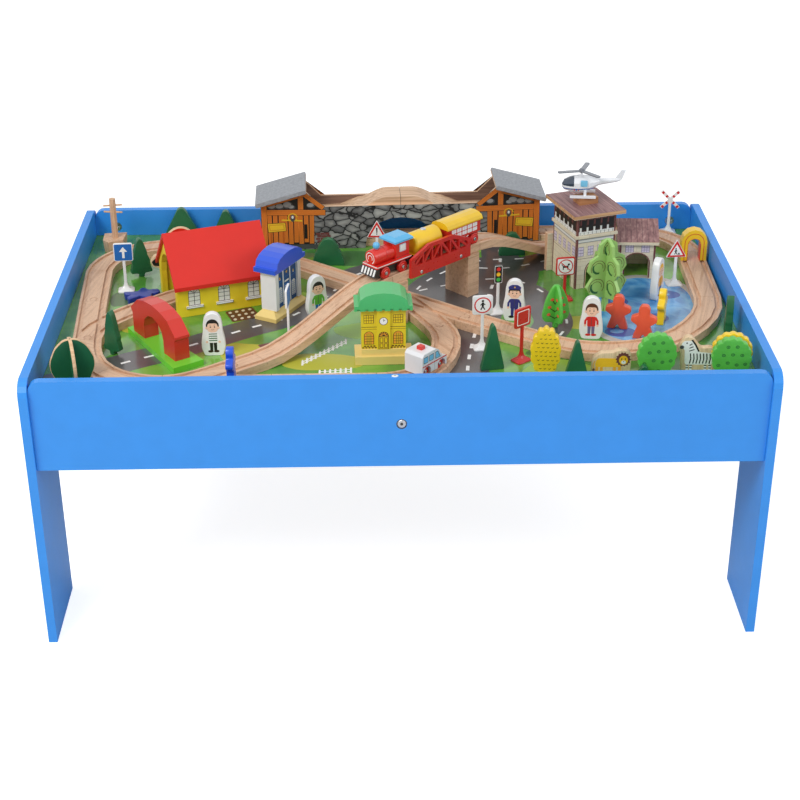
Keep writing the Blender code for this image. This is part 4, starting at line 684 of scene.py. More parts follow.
def built_board(name, toy, roof_level, pad_level=None):
    """Pale stone courses on the walls, brown planks with cut wooden edges on the roof, and a wooden pad."""
    board = Finish(name, 0.52)
    spot = board.place()
    along, across, up = local_mask(board, spot, toy, GROUND)
    normal = board.axes(board.node("ShaderNodeNewGeometry", out="Normal"))[2]
    brick = board.node("ShaderNodeCombineXYZ", None, {0: along + across, 1: up, 2: 0.0})
    course = board.node("ShaderNodeTexBrick", None,
                        {"Vector": brick, "Scale": 1.0, "Brick Width": 0.017, "Row Height": 0.0072,
                         "Mortar Size": 0.00030, "Color1": tone(230, 220, 194), "Color2": tone(220, 208, 182),
                         "Mortar": tone(200, 186, 160)})
    stain = board.noise(spot, 60.0, 3.0)
    wall = board.mix(stain * 0.25, course, tone(196, 180, 156))
    streak = board.noise(board.turned(spot, toy[2], (240.0, 20.0, 240.0)), 1.0, 4.0, 0.5)
    plank = board.ramp(streak, (0.3, tone(116, 80, 82)), (0.55, tone(150, 112, 110)),
                       (0.75, tone(182, 146, 140)))
    phase = board.node("ShaderNodeMath", {"operation": "FRACT"}, {0: along / 0.0083})
    plank = board.mix((phase < 0.07) * 0.75, plank, tone(58, 36, 38))
    grain = board.noise(board.turned(spot, toy[2], (14.0, 240.0, 240.0)), 1.0, 3.0)
    edge = board.ramp(grain, (0.35, tone(176, 128, 88)), (0.65, tone(212, 168, 124)))
    roof = board.mix(normal > 0.25, edge, plank)
    if pad_level is not None:
        pad = board.ramp(grain, (0.35, tone(160, 106, 64)), (0.65, tone(186, 132, 86)))
        roof = board.mix(up > pad_level, roof, pad)
        support = board.ramp(grain, (0.35, tone(198, 156, 122)), (0.65, tone(224, 186, 152)))
        wall = board.mix(across > 0.0796, wall, support)
    board.colour(board.mix(up > roof_level, wall, roof))
    board.relief(streak, 0.1, 0.0003)
    return board.material


looks["mat"] = mat_print()
looks["road"] = road_print()
looks["pond"] = pond_print()


# Parts that keep their own shape get a finish

def wear(node, material):
    for slot in nodes[node].material_slots:
        slot.material = material


for node in ("left_end_panel", "right_end_panel", "front_panel", "back_panel", "centre_rail"):
    wear(node, looks["blue_board"])
wear("playboard", timber("playboard_board", tone(206, 186, 156), tone(182, 158, 126), 0.0))
for node in nodes:
    if node.endswith("cam_lock") or node.endswith("centre_bolt"):
        wear(node, looks["zinc"])
TRACK_GRAIN = {
    "left_track": 80, "back_track": 3, "diagonal_track": -39, "right_track": 75, "loop_track": -60,
    "front_corner_track": -30, "siding_track": 28, "climb_track": 39, "bridge_deck": 43,
    "descent_track": 43, "left_switch": 75, "back_switch": -15, "loop_switch": -45, "front_switch": 15,
    "east_switch": 10, "west_pier": 43, "east_pier": 43,
}
for index, (node, heading) in enumerate(TRACK_GRAIN.items()):
    lift = 0.96 + 0.02 * (index % 5)
    wear(node, timber(f"beech_{node}", shade(BEECH_LIGHT, lift), shade(BEECH_DARK, lift), heading))
wear("utility_pole", timber("pole_wood", tone(216, 178, 144), tone(186, 144, 110), upright=True))
for node, look in (
    ("back_truss", "deep_red"), ("front_truss", "deep_red"), ("house_roof", "roof_red"), ("loco_roof", "sky"),
    ("coach_roof", "yellow"), ("helicopter_rotor", "rotor_grey"), ("yellow_arch", "yellow"),
    ("leafy_tree", "light_leaf"),
):
    wear(node, looks[look])
for node in nodes:
    if node.endswith("wheelset"):
        wear(node, looks["deep_red"])
wear("house_walls", house_board())
wear("mine_left_half", mine_board())
wear("mine_right_half", mine_board())
wear("tower", built_board("tower_board", TOWER, 0.1150, 0.1202))
wear("garage", built_board("garage_board", GARAGE, 0.0601))


def parted(name, level, first, *bands):
    """Paint in bands above a level: a first colour, then colours that start at their own heights."""
    paint = Finish(name, 0.36, coat=0.2)
    spot = paint.place()
    z = paint.axes(spot)[2]
    body = tone(*first)
    for height, colour in bands:
        body = paint.mix(z > (level + height) * MM, body, tone(*colour))
    return paint.aged(spot, body, 0.16, tone(96, 84, 60))


for node, level, *bands in (
    ("bank", GROUND, (240, 210, 124), (14.2, (242, 242, 242)), (73.3, (34, 88, 222))),
    ("station", GROUND, (244, 216, 132), (21.1, (240, 214, 40)), (79.7, (74, 190, 110))),
    ("red_arch", GROUND, (110, 212, 50), (8.3, (214, 40, 28))),
    ("tank_car", DECK_TOP, (24, 24, 26), (14.2, (246, 196, 36))),
    ("ambulance_body", TRACK_TOP, (238, 238, 240), (35.1, (224, 44, 36))),
    ("coach_body", DECK_TOP, (26, 26, 28), (6, (214, 40, 32))),
):
    wear(node, parted(f"{node}_paint", level, *bands))


def loco_paint():
    """Black chassis, red body, and a blue dome ahead of the cab."""
    paint = Finish("loco_paint", 0.32, coat=0.25)
    spot = paint.place()
    along, _, up = local_mask(paint, spot, (*LOCO, TRAIN_HEADING), DECK_TOP)
    body = paint.mix(up > 0.0163, tone(26, 26, 28), tone(222, 46, 38))
    body = paint.mix((up > 0.0402) * (along > 0.010), body, tone(70, 160, 222))
    return paint.aged(spot, body, 0.12, tone(60, 20, 18))


def shell_paint():
    """White moulded body with dark cockpit panes and a blue waist line."""
    paint = Finish("shell_paint", 0.22, coat=0.4)
    spot = paint.place()
    along, across, up = local_mask(paint, spot, COPTER, COPTER_LEVEL)
    pane = (along > 0.0185) * (up > 0.0170)
    post = (across > -0.0012) * (across < 0.0012)
    body = paint.mix(pane * (1 - post), tone(236, 238, 242), tone(52, 66, 84))
    waist = (up > 0.0118) * (up < 0.0140) * (along > -0.015)
    body = paint.mix(waist, body, tone(60, 120, 196))
    paint.colour(body)
    paint.relief(paint.noise(spot, 500.0, 2.0), 0.04, 0.0003)
    return paint.material


wear("loco_body", loco_paint())
wear("helicopter_body", shell_paint())


# The play mat and what is printed on it

Pen("mat", lying(0, 0, 0, TRAY_TOP + 0.3)).block("mat", slab_outline(-477.7, -291.7, 477.7, 291.7), 0, 0.6, 0)
sheet = Pen("mat", lying(0, 0, 0, SHEET_TOP))

for look, spots in (
    ("grass_yellow", ((-215, -140, 34, 30), (-105, -172, 55, 26), (262, -58, 40, 22), (-360, -60, 30, 20))),
    ("grass_light", ((-130, 30, 45, 30), (-300, -240, 60, 24), (215, -205, 50, 30), (90, 215, 50, 25),
                     (-60, -75, 30, 24))),
    ("grass_dark", ((-50, 185, 60, 30), (-290, 200, 80, 34), (200, -150, 26, 14), (400, -190, 50, 24),
                    (-190, 120, 40, 24))),
    ("shadow_green", ((-405, 42, 18, 26), (-150, 200, 30, 12))),
    ("puddle", ((-366, 112, 12, 42), (-345, 55, 10, 18))),
):
    for index, (x, y, rx, ry) in enumerate(spots):
        wave = 1 + 0.10 * np.sin(np.arange(9) * 2.4 + index)[:, None]
        sheet.area(look, 1, flowing(ellipse(0, 0, 1, 1, 9) * wave * (rx, ry) + (x, y), 5))

MAT_EDGE = np.array([477.5, 291.5])
ROADS = [
    ([(-476, -232), (-414, -193), (-366, -162), (-316, -134), (-264, -99), (-210, -62), (-155, -26),
      (-105, 40), (-61, 120), (0, 146), (80, 150)], 54),
    ([(165, 225), (160, 150), (140, 60), (120, -30), (102, -120), (91, -200), (88, -288)], 58),
    ([(0, 20), (80, 60), (160, 80), (205, 30), (222, -50), (200, -110)], 56),
    ([(80, 150), (165, 140), (240, 170), (330, 205)], 60),
]
for layer, (line, width) in enumerate(ROADS):
    sheet.area("road", 2 + layer * 0.5, np.clip(band(flowing(line, 6, False), width), -MAT_EDGE, MAT_EDGE))
BY_PASS = [(0, 0), (30, 100), (110, 175), (200, 180), (215, 100), (170, 10), (80, -20)]
sheet.area("road", 4, flowing(BY_PASS, 5))


DASH_PITCH, DASH_LENGTH = 34, 14


def dashes(line, width, layer, shift=0):
    """Short white strips laid along a line at an even pitch."""
    centre = flowing(line, 16, False)
    step = np.linalg.norm(np.diff(centre, axis=0), axis=1)
    run = np.concatenate([[0], np.cumsum(step)])
    for start in np.arange(DASH_PITCH * 0.4, run[-1] - DASH_LENGTH, DASH_PITCH):
        ends = start + np.array([0, DASH_LENGTH / 2, DASH_LENGTH])
        strip = np.stack([np.interp(ends, run, centre[:, 0]), np.interp(ends, run, centre[:, 1])], 1)
        way = strip[-1] - strip[0]
        side = np.array([-way[1], way[0]]) / np.linalg.norm(way)
        sheet.line("ink_white", layer, strip + side * shift, width)


dashes(ROADS[0][0], 4.2, 5)
dashes(ROADS[1][0], 4.6, 5)
dashes(ROADS[2][0], 3.6, 5.5, 19)
dashes(ROADS[3][0], 3.6, 6)
dashes([(12, 20), (50, 100), (120, 165), (200, 176)], 3.4, 6.5)

POND = np.array([(283, -75), (290, 20), (322, 78), (372, 96), (424, 60), (430, -10), (408, -78), (360, -122),
                 (312, -116)])
middle = POND.mean(0)
sheet.area("shore", 6, flowing((POND - middle) * (1.13, 1.10) + middle, 6))
sheet.area("pond", 7, flowing(POND, 6))
for x, y, rx, ry in ((368, -46, 20, 16), (312, -90, 22, 16), (398, 34, 20, 14), (322, 12, 16, 14)):
    sheet.dot("lily", 8, x, y, rx, ry, 28)
    sheet.dot("pond", 9, x - rx * 0.2, y + ry * 0.1, rx * 0.45, ry * 0.4, 20)


FENCE_TALL = 17
PICKET = np.array([(-1.4, 0), (1.4, 0), (1.4, FENCE_TALL * 0.82), (0, FENCE_TALL), (-1.4, FENCE_TALL * 0.82)])


def fence(start, end, count):
    """Pickets along a line with two rails, all printed in white."""
    for foot in np.linspace(start, end, count):
        sheet.area("ink_white", 4, PICKET + foot)
    for share in (0.25, 0.62):
        sheet.line("ink_white", 3, np.array([start, end]) + (0, FENCE_TALL * share), 1.8)


fence((-132, -182), (-74, -118), 11)
fence((-108, -212), (-66, -206), 7)

bed = np.array([(-250, -6), (-212, 10), (-196, -26), (-236, -42)])
sheet.area("ink_brown", 2, softened(bed, 4))
for row in range(3):
    for column in range(4):
        share_u, share_v = (column + 0.6) / 4.2, (row + 0.6) / 3.2
        near, far = (bed[a] * (1 - share_u) + bed[b] * share_u for a, b in ((0, 1), (3, 2)))
        sheet.dot("ink_beige", 3, *(near * (1 - share_v) + far * share_v), 2.6, 3.4, 10)
sheet.area("ink_maroon", 2, [(-196, -118), (-168, -104), (-150, -120), (-176, -150)])
sheet.area("ink_red", 3, [(-192, -132), (-172, -118), (-160, -130), (-180, -152)])
sheet.area("ink_violet", 2, flowing([(10, -180), (30, -140), (52, -170), (40, -196)], 4))
for x, y in ((-30, -215), (-12, -222), (6, -214)):
    sheet.dot("ink_dark_brown", 3, x, y, 5, 3.6, 9)


# Trees and bushes

FIR = [(4, 0), (4, 6), (17, 7), (13, 22), (14, 26), (10, 38), (10, 42), (5, 60), (0, 66)]
POINTED = [(16, 0), (15.5, 4), (3, 52), (0, 55)]
MOUND = [(24.5, 0), (24, 8), (21.5, 13), (20, 20), (16.5, 25), (15, 32), (10.5, 38), (8, 42), (0, 44.5)]
CROSSED_DISC = [(10, 0), (19, 9), (27, 26), (27, 38), (19, 55), (9, 63), (3.5, 64.2)]
FRUIT_TREE = [(4, 0), (4, 10), (18, 12), (21, 22), (16, 45), (8, 61), (3.5, 66)]
RED_DISC = [(12, 0), (21.5, 12), (26, 30), (25, 46), (19, 60), (10, 67.5), (0, 70)]


def sized(half, wide=1.0, tall=1.0):
    return np.asarray(half) * (wide, tall)


def sawn(half, soft):
    """The whole outline of a sawn shape with softened corners, from its right half."""
    return softened(mirrored_outline(half), soft)


def lobed(wide, tall, lobes=6, depth=0.07, middle=0.54):
    """Half of a rounded crown with small lobes along its edge, from the foot to the top."""
    count = 10 * lobes + 1
    turns = np.radians(np.linspace(-60, 90, count))
    swell = 1 - depth * (1 - np.abs(np.sin(np.linspace(0, lobes * np.pi + np.pi / 2, count))))
    heart = tall * middle
    rise = np.where(turns < 0, heart, tall - heart)
    crown = np.column_stack([wide * np.cos(turns) * swell, heart + rise * np.sin(turns) * swell])
    crown[-1, 0] = 0
    return np.vstack([[(crown[0, 0] * 0.85, 0)], crown])


def cut_board(group, look, half, spot, thick=10, soft=3, level=SHEET_TOP, edge=0.9):
    """A shape sawn from a board, with broken edges. Returns the pen of its front face."""
    board = Pen(group, standing(*spot, level))
    board.block(look, sawn(half, soft), -thick / 2, thick / 2, edge)
    return board.moved(out=thick / 2)


def both_faces(group, spot, thick, level=SHEET_TOP):
    """The pens of the front and back faces of an upright board."""
    return [Pen(group, standing(*turned_by(spot, turn), level)).moved(out=thick / 2) for turn in (0, 180)]


for half, spot in (
    (sized(FIR, 0.8), (-392, -138, -30)),
    (sized(FIR, 1.0, 0.95), (-386, 128, 20)),
    (sized(POINTED, 1.9, 0.95), (-338, 277, 3)),
    (sized(POINTED, 1.5, 0.85), (-268, 278, 0)),
    (sized(POINTED, 1.0, 1.22), (124, -198, 10)),
    (sized(POINTED), (234, -227, 0)),
    (sized(FIR, 0.75, 0.98), (459, -110, 82)),
    (sized(POINTED, 1.0, 0.5), (320.5, -247, -3)),
):
    cut_board("trees", "moss", half, spot)
for grown, spot in ((1.0, (-103, 162, 0)), (0.85, (182, 193, 2))):
    cut_board("trees", "moss", sized(MOUND, grown, grown), spot, soft=2)

CROSSED = 4.5
for heading in (17, 107):
    spot, half = (-430, -239, heading), sized(CROSSED_DISC, 1.08, 1.12)
    cut_board("trees", "cut_wood", half, spot, CROSSED, 6, edge=0.4)
    for pen in both_faces("trees", spot, CROSSED):
        pen.moved(up=0.8).area("moss", 2, sawn(half * 0.975, 6))

for heading in (20, 110):
    spot = (222, -72, heading)
    cut_board("trees", "leaf", FRUIT_TREE, spot, CROSSED, 4, edge=0.4)
    for pen in both_faces("trees", spot, CROSSED):
        pen.area("ink_dark_brown", 2, [(-2.4, 1), (2.4, 1), (1.2, 40), (-1.2, 40)])
        for side in (-1, 1):
            for foot, top, reach in ((14, 22, 12), (24, 33, 11), (34, 44, 7)):
                pen.line("ink_dark_brown", 2, [(0, foot), (side * reach, top)], 1.2)
                pen.dot("orange", 3, side * reach, top + 1, 3, 2.2, 12)

RINGS = ((-12, 0.15), (2, 0.19), (13, 0.16), (-17, 0.36), (-5, 0.42), (7, 0.38), (18, 0.40), (-11, 0.60),
         (1, 0.62), (13, 0.61), (-6, 0.80), (6, 0.81))
for spot, tall in (((339, -230, 4), 66), ((437, -236, -4), 61)):
    pen = cut_board("trees", "leaf", lobed(26.5, tall), spot, 11, 1.2)
    for u, share in RINGS:
        pen.line("ink_dark_green", 2, ellipse(u, share * tall, 2.1, 1.8, 14, 0, 350), 0.8)
        pen.dot("ink_dark_green", 2, u, share * tall, 0.7, count=8)
cut_board("trees", "canary", lobed(27.5, 60), (441, -219, -6), 10, 1.2)

RED_DISC_SPOT = (-326, 150, 8)
cut_board("trees", "cut_wood", RED_DISC, RED_DISC_SPOT, 8, 4)
for pen in both_faces("trees", RED_DISC_SPOT, 8):
    pen.moved(up=0.4).area("red", 2, sawn(sized(RED_DISC, 0.97, 0.985), 4))

pen = cut_board("trees", "canary", lobed(20.5, 71, 5, 0.10, 0.5), (193, -218, -6), 12, 1.2)
rng = np.random.default_rng(7)
for v in np.linspace(12, 62, 9):
    reach = np.interp(v, [0, 18, 36, 54, 66, 70], [8, 15, 18, 15, 6, 0]) - 3
    for u in np.arange(-reach, reach, 6.2) + rng.uniform(0, 3):
        pen.line("ink_black", 2, [(u, v), (u + 1.6, v - 0.8), (u + 3, v + 0.6)], 0.7)

for heading in (25, 115):
    for pen in both_faces("leafy_tree", (299, -17, heading), 5, GROUND):
        pen.area("ink_dark_brown", 2, [(-3, 1), (3, 1), (1.4, 24), (-1.4, 24)])
        for u, v, ru, rv in ((17.5, 41, 12.5, 12), (16, 70, 11.5, 11), (0, 96, 8.5, 11.5),
                             (-17.5, 41, 12.5, 12), (-16, 70, 11.5, 11)):
            pen.line("ink_brown", 2, ellipse(u, v, ru, rv, 30, -40, 250), 0.8)
            pen.line("ink_brown", 2, ellipse(u, v, ru * 0.68, rv * 0.68, 24, -10, 150), 0.7)
            pen.area("ink_dark_green", 3, ring_of(
                ellipse(u, v, ru * 0.86, rv * 0.86, 16, 150, 130),
                ellipse(u + ru * 0.10, v + rv * 0.10, ru * 0.72, rv * 0.72, 16, 150, 130)))


# Road signs

SIGN_TALL = 28


def sign_foot(base, look, post):
    """A moulded foot: square rings that narrow into the post."""
    rings = []
    for wide, deep, z in ((24, 19, 0), (24, 19, 1.6), (22.1, 17.5, 2.7), (15, 12, 4.2), (10.1, 8, 6.2),
                          (6, 4.8, 10), (4.2, 3.2, 15), (4.2, 3.2, post)):
        ring = softened(slab_outline(-wide / 2, -deep / 2, wide / 2, deep / 2), min(wide, deep) * 0.18, 2)
        rings.append(np.column_stack([ring[:, 0], np.full(len(ring), z), ring[:, 1]])[::-1])
    base.add(look, tube_of(rings))


def quarter_ways():
    """The four slanting directions of a cross, as unit vectors."""
    return [ellipse(0, 0, 1, start=90 * quarter + 45, count=1)[0] for quarter in range(4)]


def crossing_plate():
    """Four arms at right angles, round the plate's middle."""
    reach, half = 19.6, 2.3
    arms = []
    for ahead in quarter_ways():
        side = np.array([-ahead[1], ahead[0]])
        arms += [ahead * reach - side * half, ahead * reach + side * half, ahead * half + side * half]
    return np.array(arms) + (0, SIGN_TALL / 2)


def walker(pen, cu, cv, scale):
    """A walking figure in flat strokes: body, two legs, two arms and a head."""
    for start, end, width in (
        ((0, 3.5), (0, -1), 2.4), ((0, -0.8), (-2.2, -5.2), 1.3), ((0, -0.8), (2.2, -5.2), 1.3),
        ((0, 3), (-2.6, 0.2), 1), ((0, 3), (2.6, 0.6), 1),
    ):
        pen.line("ink_black", 4, np.array([start, end]) * scale + (cu, cv), width * scale)
    pen.dot("ink_black", 4, cu, cv + 5.2 * scale, 1.4 * scale, count=12)


PLATES = {
    "square": softened(slab_outline(-14, 0, 14, SIGN_TALL), 3),
    "lights": softened(slab_outline(-6.3, 0, 6.3, SIGN_TALL), 2),
    "triangle": softened([(-15.4, 0), (15.4, 0), (0, SIGN_TALL)], 2),
    "cross": crossing_plate(),
}
signs = {}
for name, plate, spot, height, look in (
    ("arrow", "square", (-402, 73, 4), 76, "white"),
    ("blue", "square", (-153, -104, 84), 82, "white"),
    ("walker", "square", (114, -136, 6), 80, "white"),
    ("frame", "square", (165, -175, 38), 79, "deep_red"),
    ("lights", "lights", (144, -20, 8), 74.5, "black"),
    ("works", "triangle", (415, 72, 4), 72.5, "white"),
    ("cross", "cross", (440, 278, -4), 70, "white"),
    ("warning", "triangle", (-28, 172, -4), 68, "white"),
    ("no_dogs", "square", (245, 23, 8), 67, "deep_red"),
):
    base = Pen("signs", standing(*spot, SHEET_TOP))
    pen = base.moved(up=height - SIGN_TALL)
    pen.block(look, PLATES[plate], -1.5, 1.5, 0.4)
    sign_foot(base, "white" if name == "lights" else look, height - SIGN_TALL / 2)
    signs[name] = pen.moved(out=1.5)

for name in ("arrow", "blue"):
    signs[name].tile("ink_blue", 2, -12.8, 1.2, 12.8, 26.8, 2)
ARROW = [(-1.8, 5), (1.8, 5), (1.8, 15), (6, 15), (0, 22.5), (-6, 15), (-1.8, 15)]
signs["arrow"].area("ink_white", 3, ARROW)
signs["walker"].dot("ink_red", 2, 0, 14, 11.8, count=36)
signs["walker"].dot("ink_white", 3, 0, 14, 10, count=36)
walker(signs["walker"], 0, 13.8, 1.25)
signs["frame"].tile("ink_white", 2, -10.8, 3.5, 10.8, 24.5, 2)
signs["frame"].tile("deep_red", 3, -9.6, 4.7, 9.6, 23.3, 2)
signs["lights"].tile("ink_white", 2, -5.6, 0.7, 5.6, 27.3, 1.8)
signs["lights"].tile("ink_black", 3, -5, 1.3, 5, 26.7, 1.6)
for v, look in ((22, "ink_red"), (14, "ink_amber"), (6, "ink_lamp_green")):
    signs["lights"].dot(look, 4, 0, v, 3, count=18)
for name in ("works", "warning"):
    signs[name].area("ink_red", 2, softened([(-14.4, 0.7), (14.4, 0.7), (0, 26.7)], 2))
    signs[name].area("ink_white", 3, softened([(-9.8, 3.4), (9.8, 3.4), (0, 20.8)], 1))
signs["warning"].area("ink_black", 4, [(-0.7, 8.2), (0.7, 8.2), (1.2, 16.5), (-1.2, 16.5)])
signs["warning"].dot("ink_black", 4, 0, 6.2, 1.1, count=12)
walker(signs["works"], -1.2, 9.2, 0.85)
signs["works"].area("ink_black", 4, [(1.2, 4.4), (5.8, 4.4), (3.6, 7.6)])
for ahead in quarter_ways():
    for near, far in ((6, 9.5), (14.5, 18.5)):
        signs["cross"].line("ink_red", 2, [ahead * near + (0, 14), ahead * far + (0, 14)], 4.4)
pen = signs["no_dogs"]
pen.tile("ink_white", 2, -12.2, 1.8, 12.2, 26.2, 2)
pen.dot("ink_red", 3, 0, 14, 11.2, count=36)
pen.dot("ink_white", 4, 0, 14, 9.6, count=36)
for box in ((-4.2, 12, 4, 15.2), (-4.2, 9, -2.8, 12.2), (2.6, 9, 4, 12.2)):
    pen.box("ink_black", 5, *box)
pen.area("ink_black", 5, [(3, 14.6), (6.6, 16.8), (5.2, 18.8), (3, 18)])
pen.line("ink_black", 5, [(-4, 14.8), (-6, 17.6)], 1.1)
pen.line("ink_red", 6, [(-7.8, 21.2), (7.8, 6.8)], 1.3)


# People, pawns and animals

PERSON = [(12.5, 0), (16.5, 12), (16, 22), (13.4, 36), (12.8, 48), (11.2, 55.5), (7.6, 60.8), (2.6, 62.9),
          (0, 63)]
PAWN = [(0, 8), (4, 0), (15, 0), (8.5, 20), (18.5, 27), (17.5, 33), (7, 37), (8.5, 44), (4.5, 50.5), (0, 51)]


def drawn_person(pen, hair, top, legs, shoes, stripe=None, cap=None):
    """A round head over a small body, in flat areas of ink."""
    pen.moved(up=0.4).area("white", 2, sawn(sized(PERSON, 0.955, 0.985), 4))
    for side in (-1, 1):
        pen.area(legs, 3, [(side * 0.8, 8), (side * 4.6, 8), (side * 5, 21.5), (side * 0.2, 21.5)])
        pen.dot(shoes, 4, side * 4, 6.6, 3.8, 1.9, 14)
        pen.line(top, 3, [(side * 5.2, 33.5), (side * 8.4, 27.8), (side * 8.6, 22.2)], 3)
        pen.dot("ink_skin", 4, side * 8.6, 20.8, 1.7, count=12)
    pen.area(top, 4, softened([(-5.6, 19.5), (5.6, 19.5), (6, 34.5), (-6, 34.5)], 1.8))
    if stripe:
        for v in (22.2, 25.5, 28.8, 32.1):
            pen.bar(stripe, 5, 0, 5.6, v, v + 1.4)
    else:
        pen.bar("ink_dark_stone", 5, 0, 0.3, 20.5, 33.5)
    pen.dot(hair, 5, 0, 45, 8.8, 9.8, 28)
    pen.area("ink_skin", 6, softened([(-7, 38), (-3.5, 35.2), (3.5, 35.2), (7, 38), (7.4, 44), (5.8, 48.6),
                                      (-5.8, 48.6), (-7.4, 44)], 2.2))
    for side in (-1, 1):
        pen.dot("ink_skin", 6, side * 8.4, 42, 1.5, 1.9, 12)
        pen.dot("ink_black", 7, side * 2.8, 43.2, 0.8, 1.1, 10)
        pen.line("ink_black", 7, [(side * 1.8, 46.2), (side * 3.8, 46.4)], 0.5)
    pen.line("ink_maroon", 7, ellipse(0, 40.4, 2.2, 1.5, 9, 200, 140), 0.5)
    if cap:
        crown = [(-7.8, 47.8), (7.8, 47.8), (9.2, 53), (4, 56.2), (-4, 56.2), (-9.2, 53)]
        pen.area(cap, 8, softened(crown, 1.6))
        pen.area("ink_black", 9, softened([(-8, 47.4), (8, 47.4), (6.2, 49.4), (-6.2, 49.4)], 0.8))
        pen.dot("ink_gold", 9, 0, 52.6, 1.1, count=10)


for spot, *inks in (
    ((-254, -143, 2), "ink_black", "ink_white", "ink_black", "ink_dark_brown", "ink_dark_green", None),
    ((-116, -22, 30), "ink_black", "ink_green", "ink_blue", "ink_dark_brown", None, None),
    ((166, -44, -6), "ink_dark_brown", "ink_navy", "ink_navy", "ink_black", None, "ink_navy"),
    ((268, -106, -6), "ink_brown", "ink_red", "ink_purple", "ink_red", None, None),
    ((381, 26, 62), "ink_amber", "ink_orange", "ink_deep_blue", "ink_maroon", None, None),
):
    cut_board("figures", "white", PERSON, spot)
    for pen in both_faces("figures", spot, 10):
        drawn_person(pen, *inks)

for spot, look in (((310, -75, -14), "orange"), ((341, -110, -14), "orange"), ((375, -57, 72), "canary")):
    cut_board("figures", look, PAWN, spot, soft=2.8, edge=1.2)
turn, origin = lying(-397, 33, 112, SHEET_TOP + 5)
face_down = Pen("figures", (turn * (1, -1, -1), origin))
face_down.block("navy", sawn(PAWN, 2.8), -5, 5, 1.2)
cut_board("track_pawn", "cobalt", PAWN, (-222, -251, 88), soft=2.8, level=TRACK_TOP - 0.2, edge=1.2)

LION = [(22, 0), (22, 24), (17, 29), (7, 29), (2, 26), (-12, 25.5), (-21, 18), (-22, 0)]
ZEBRA = [(21, 0), (22, 26), (16, 32), (4, 31), (-6, 44), (-13, 45), (-22, 31), (-18, 24), (-16, 0)]
HORSE = [(14, 0), (16, 26), (4, 42), (-10, 42), (-17, 33), (-14, 25), (-4, 22), (-2, 0)]


def animal_board(outline, spot, grown=1.0):
    """A wooden animal. Its frame is scaled, so the print on its face grows with it."""
    turn, foot = standing(*spot, SHEET_TOP)
    board = Pen("animals", (turn * (grown, grown, 1.0), foot))
    board.block("turned_wood", softened(outline, 2.8), -5, 5, 0.8)
    return board.moved(out=5)


pen = animal_board(LION, (281.5, -213, -3), 1.2)
for u in (-15.5, -10.5, 4, 9.5):
    pen.tile("ink_orange", 2, u - 1.6, 1.6, u + 1.6, 11, 0.8)
    pen.dot("ink_brown", 3, u, 1.8, 2.2, 1, 10)
pen.area("ink_amber", 3, softened([(-18.5, 8.5), (11.5, 8.5), (12.5, 19), (-16, 19.5)], 4))
pen.line("ink_orange", 3, [(-18, 16), (-20, 11), (-19.2, 6)], 1)
pen.dot("ink_maroon", 4, -19.2, 4.8, 1.4, 2, 10)
wave = 0.8 * (-1) ** np.arange(28)[:, None]
pen.area("ink_maroon", 4, ellipse(0, 0, 1, count=28) * ((7.8, 8.2) + wave) + (13, 18.2))
pen.dot("ink_amber", 5, 13.4, 17.2, 5, 5.6, 20)
pen.dot("ink_white", 6, 13.6, 14.6, 2.6, 2.2, 14)
for side in (-1, 1):
    pen.dot("ink_black", 6, 13.4 + side * 2, 18.6, 0.6, 0.9, 8)
pen.area("ink_black", 7, [(12.8, 16), (14.4, 16), (13.6, 15)])

pen = animal_board(ZEBRA, (395, -214.5, -3), 1.2)
for u in (-10, -6, 10, 15):
    pen.bar("ink_white", 2, u, 1.4, 1.6, 13)
    for half, low, high in ((1.6, 1.2, 3), (1.4, 6.2, 7.4), (1.4, 9.4, 10.6)):
        pen.bar("ink_black", 3, u, half, low, high)
pen.area("ink_white", 3, softened([(-13, 11), (18, 11), (19.6, 25), (2, 26.5), (-4, 40), (-16, 40), (-19, 32),
                                   (-14, 30)], 3))
for u in np.arange(-7.5, 18, 3.6):
    pen.line("ink_black", 4, [(u, 12.2), (u + 1, 18), (u + 0.2, 24.6)], 1.3)
for v in (28.5, 32, 35.5):
    pen.line("ink_black", 4, [(-9, v - 1), (-3 - (v - 28) * 0.4, v + 1)], 1.1)
pen.line("ink_black", 4, [(1.8, 27), (-2.2, 35), (-6.6, 41.2)], 1.8)
pen.dot("ink_dark_stone", 5, -17.2, 32.2, 2.4, 2.2, 12)
pen.dot("ink_black", 5, -12, 37.2, 0.8, 1, 10)

pen = animal_board(HORSE, (-352, 110, 10))
pen.area("ink_black", 2, softened([(0, 1.4), (3, 1.4), (4, 12), (9, 12), (9.4, 1.4), (12.8, 1.4), (14, 24),
                                   (3, 39.5), (-6, 40.5), (-15, 33), (-12, 26.5), (-2, 25)], 2))
for shift, look in ((0, "ink_sky"), (2, "ink_amber"), (4, "ink_red")):
    pen.line(look, 3, [(3.6 + shift, 17), (2 + shift, 23), (3.4 + shift, 29)], 1.7)
pen.dot("ink_white", 4, -7.2, 35.2, 1.2, count=10)


# House, bank and station

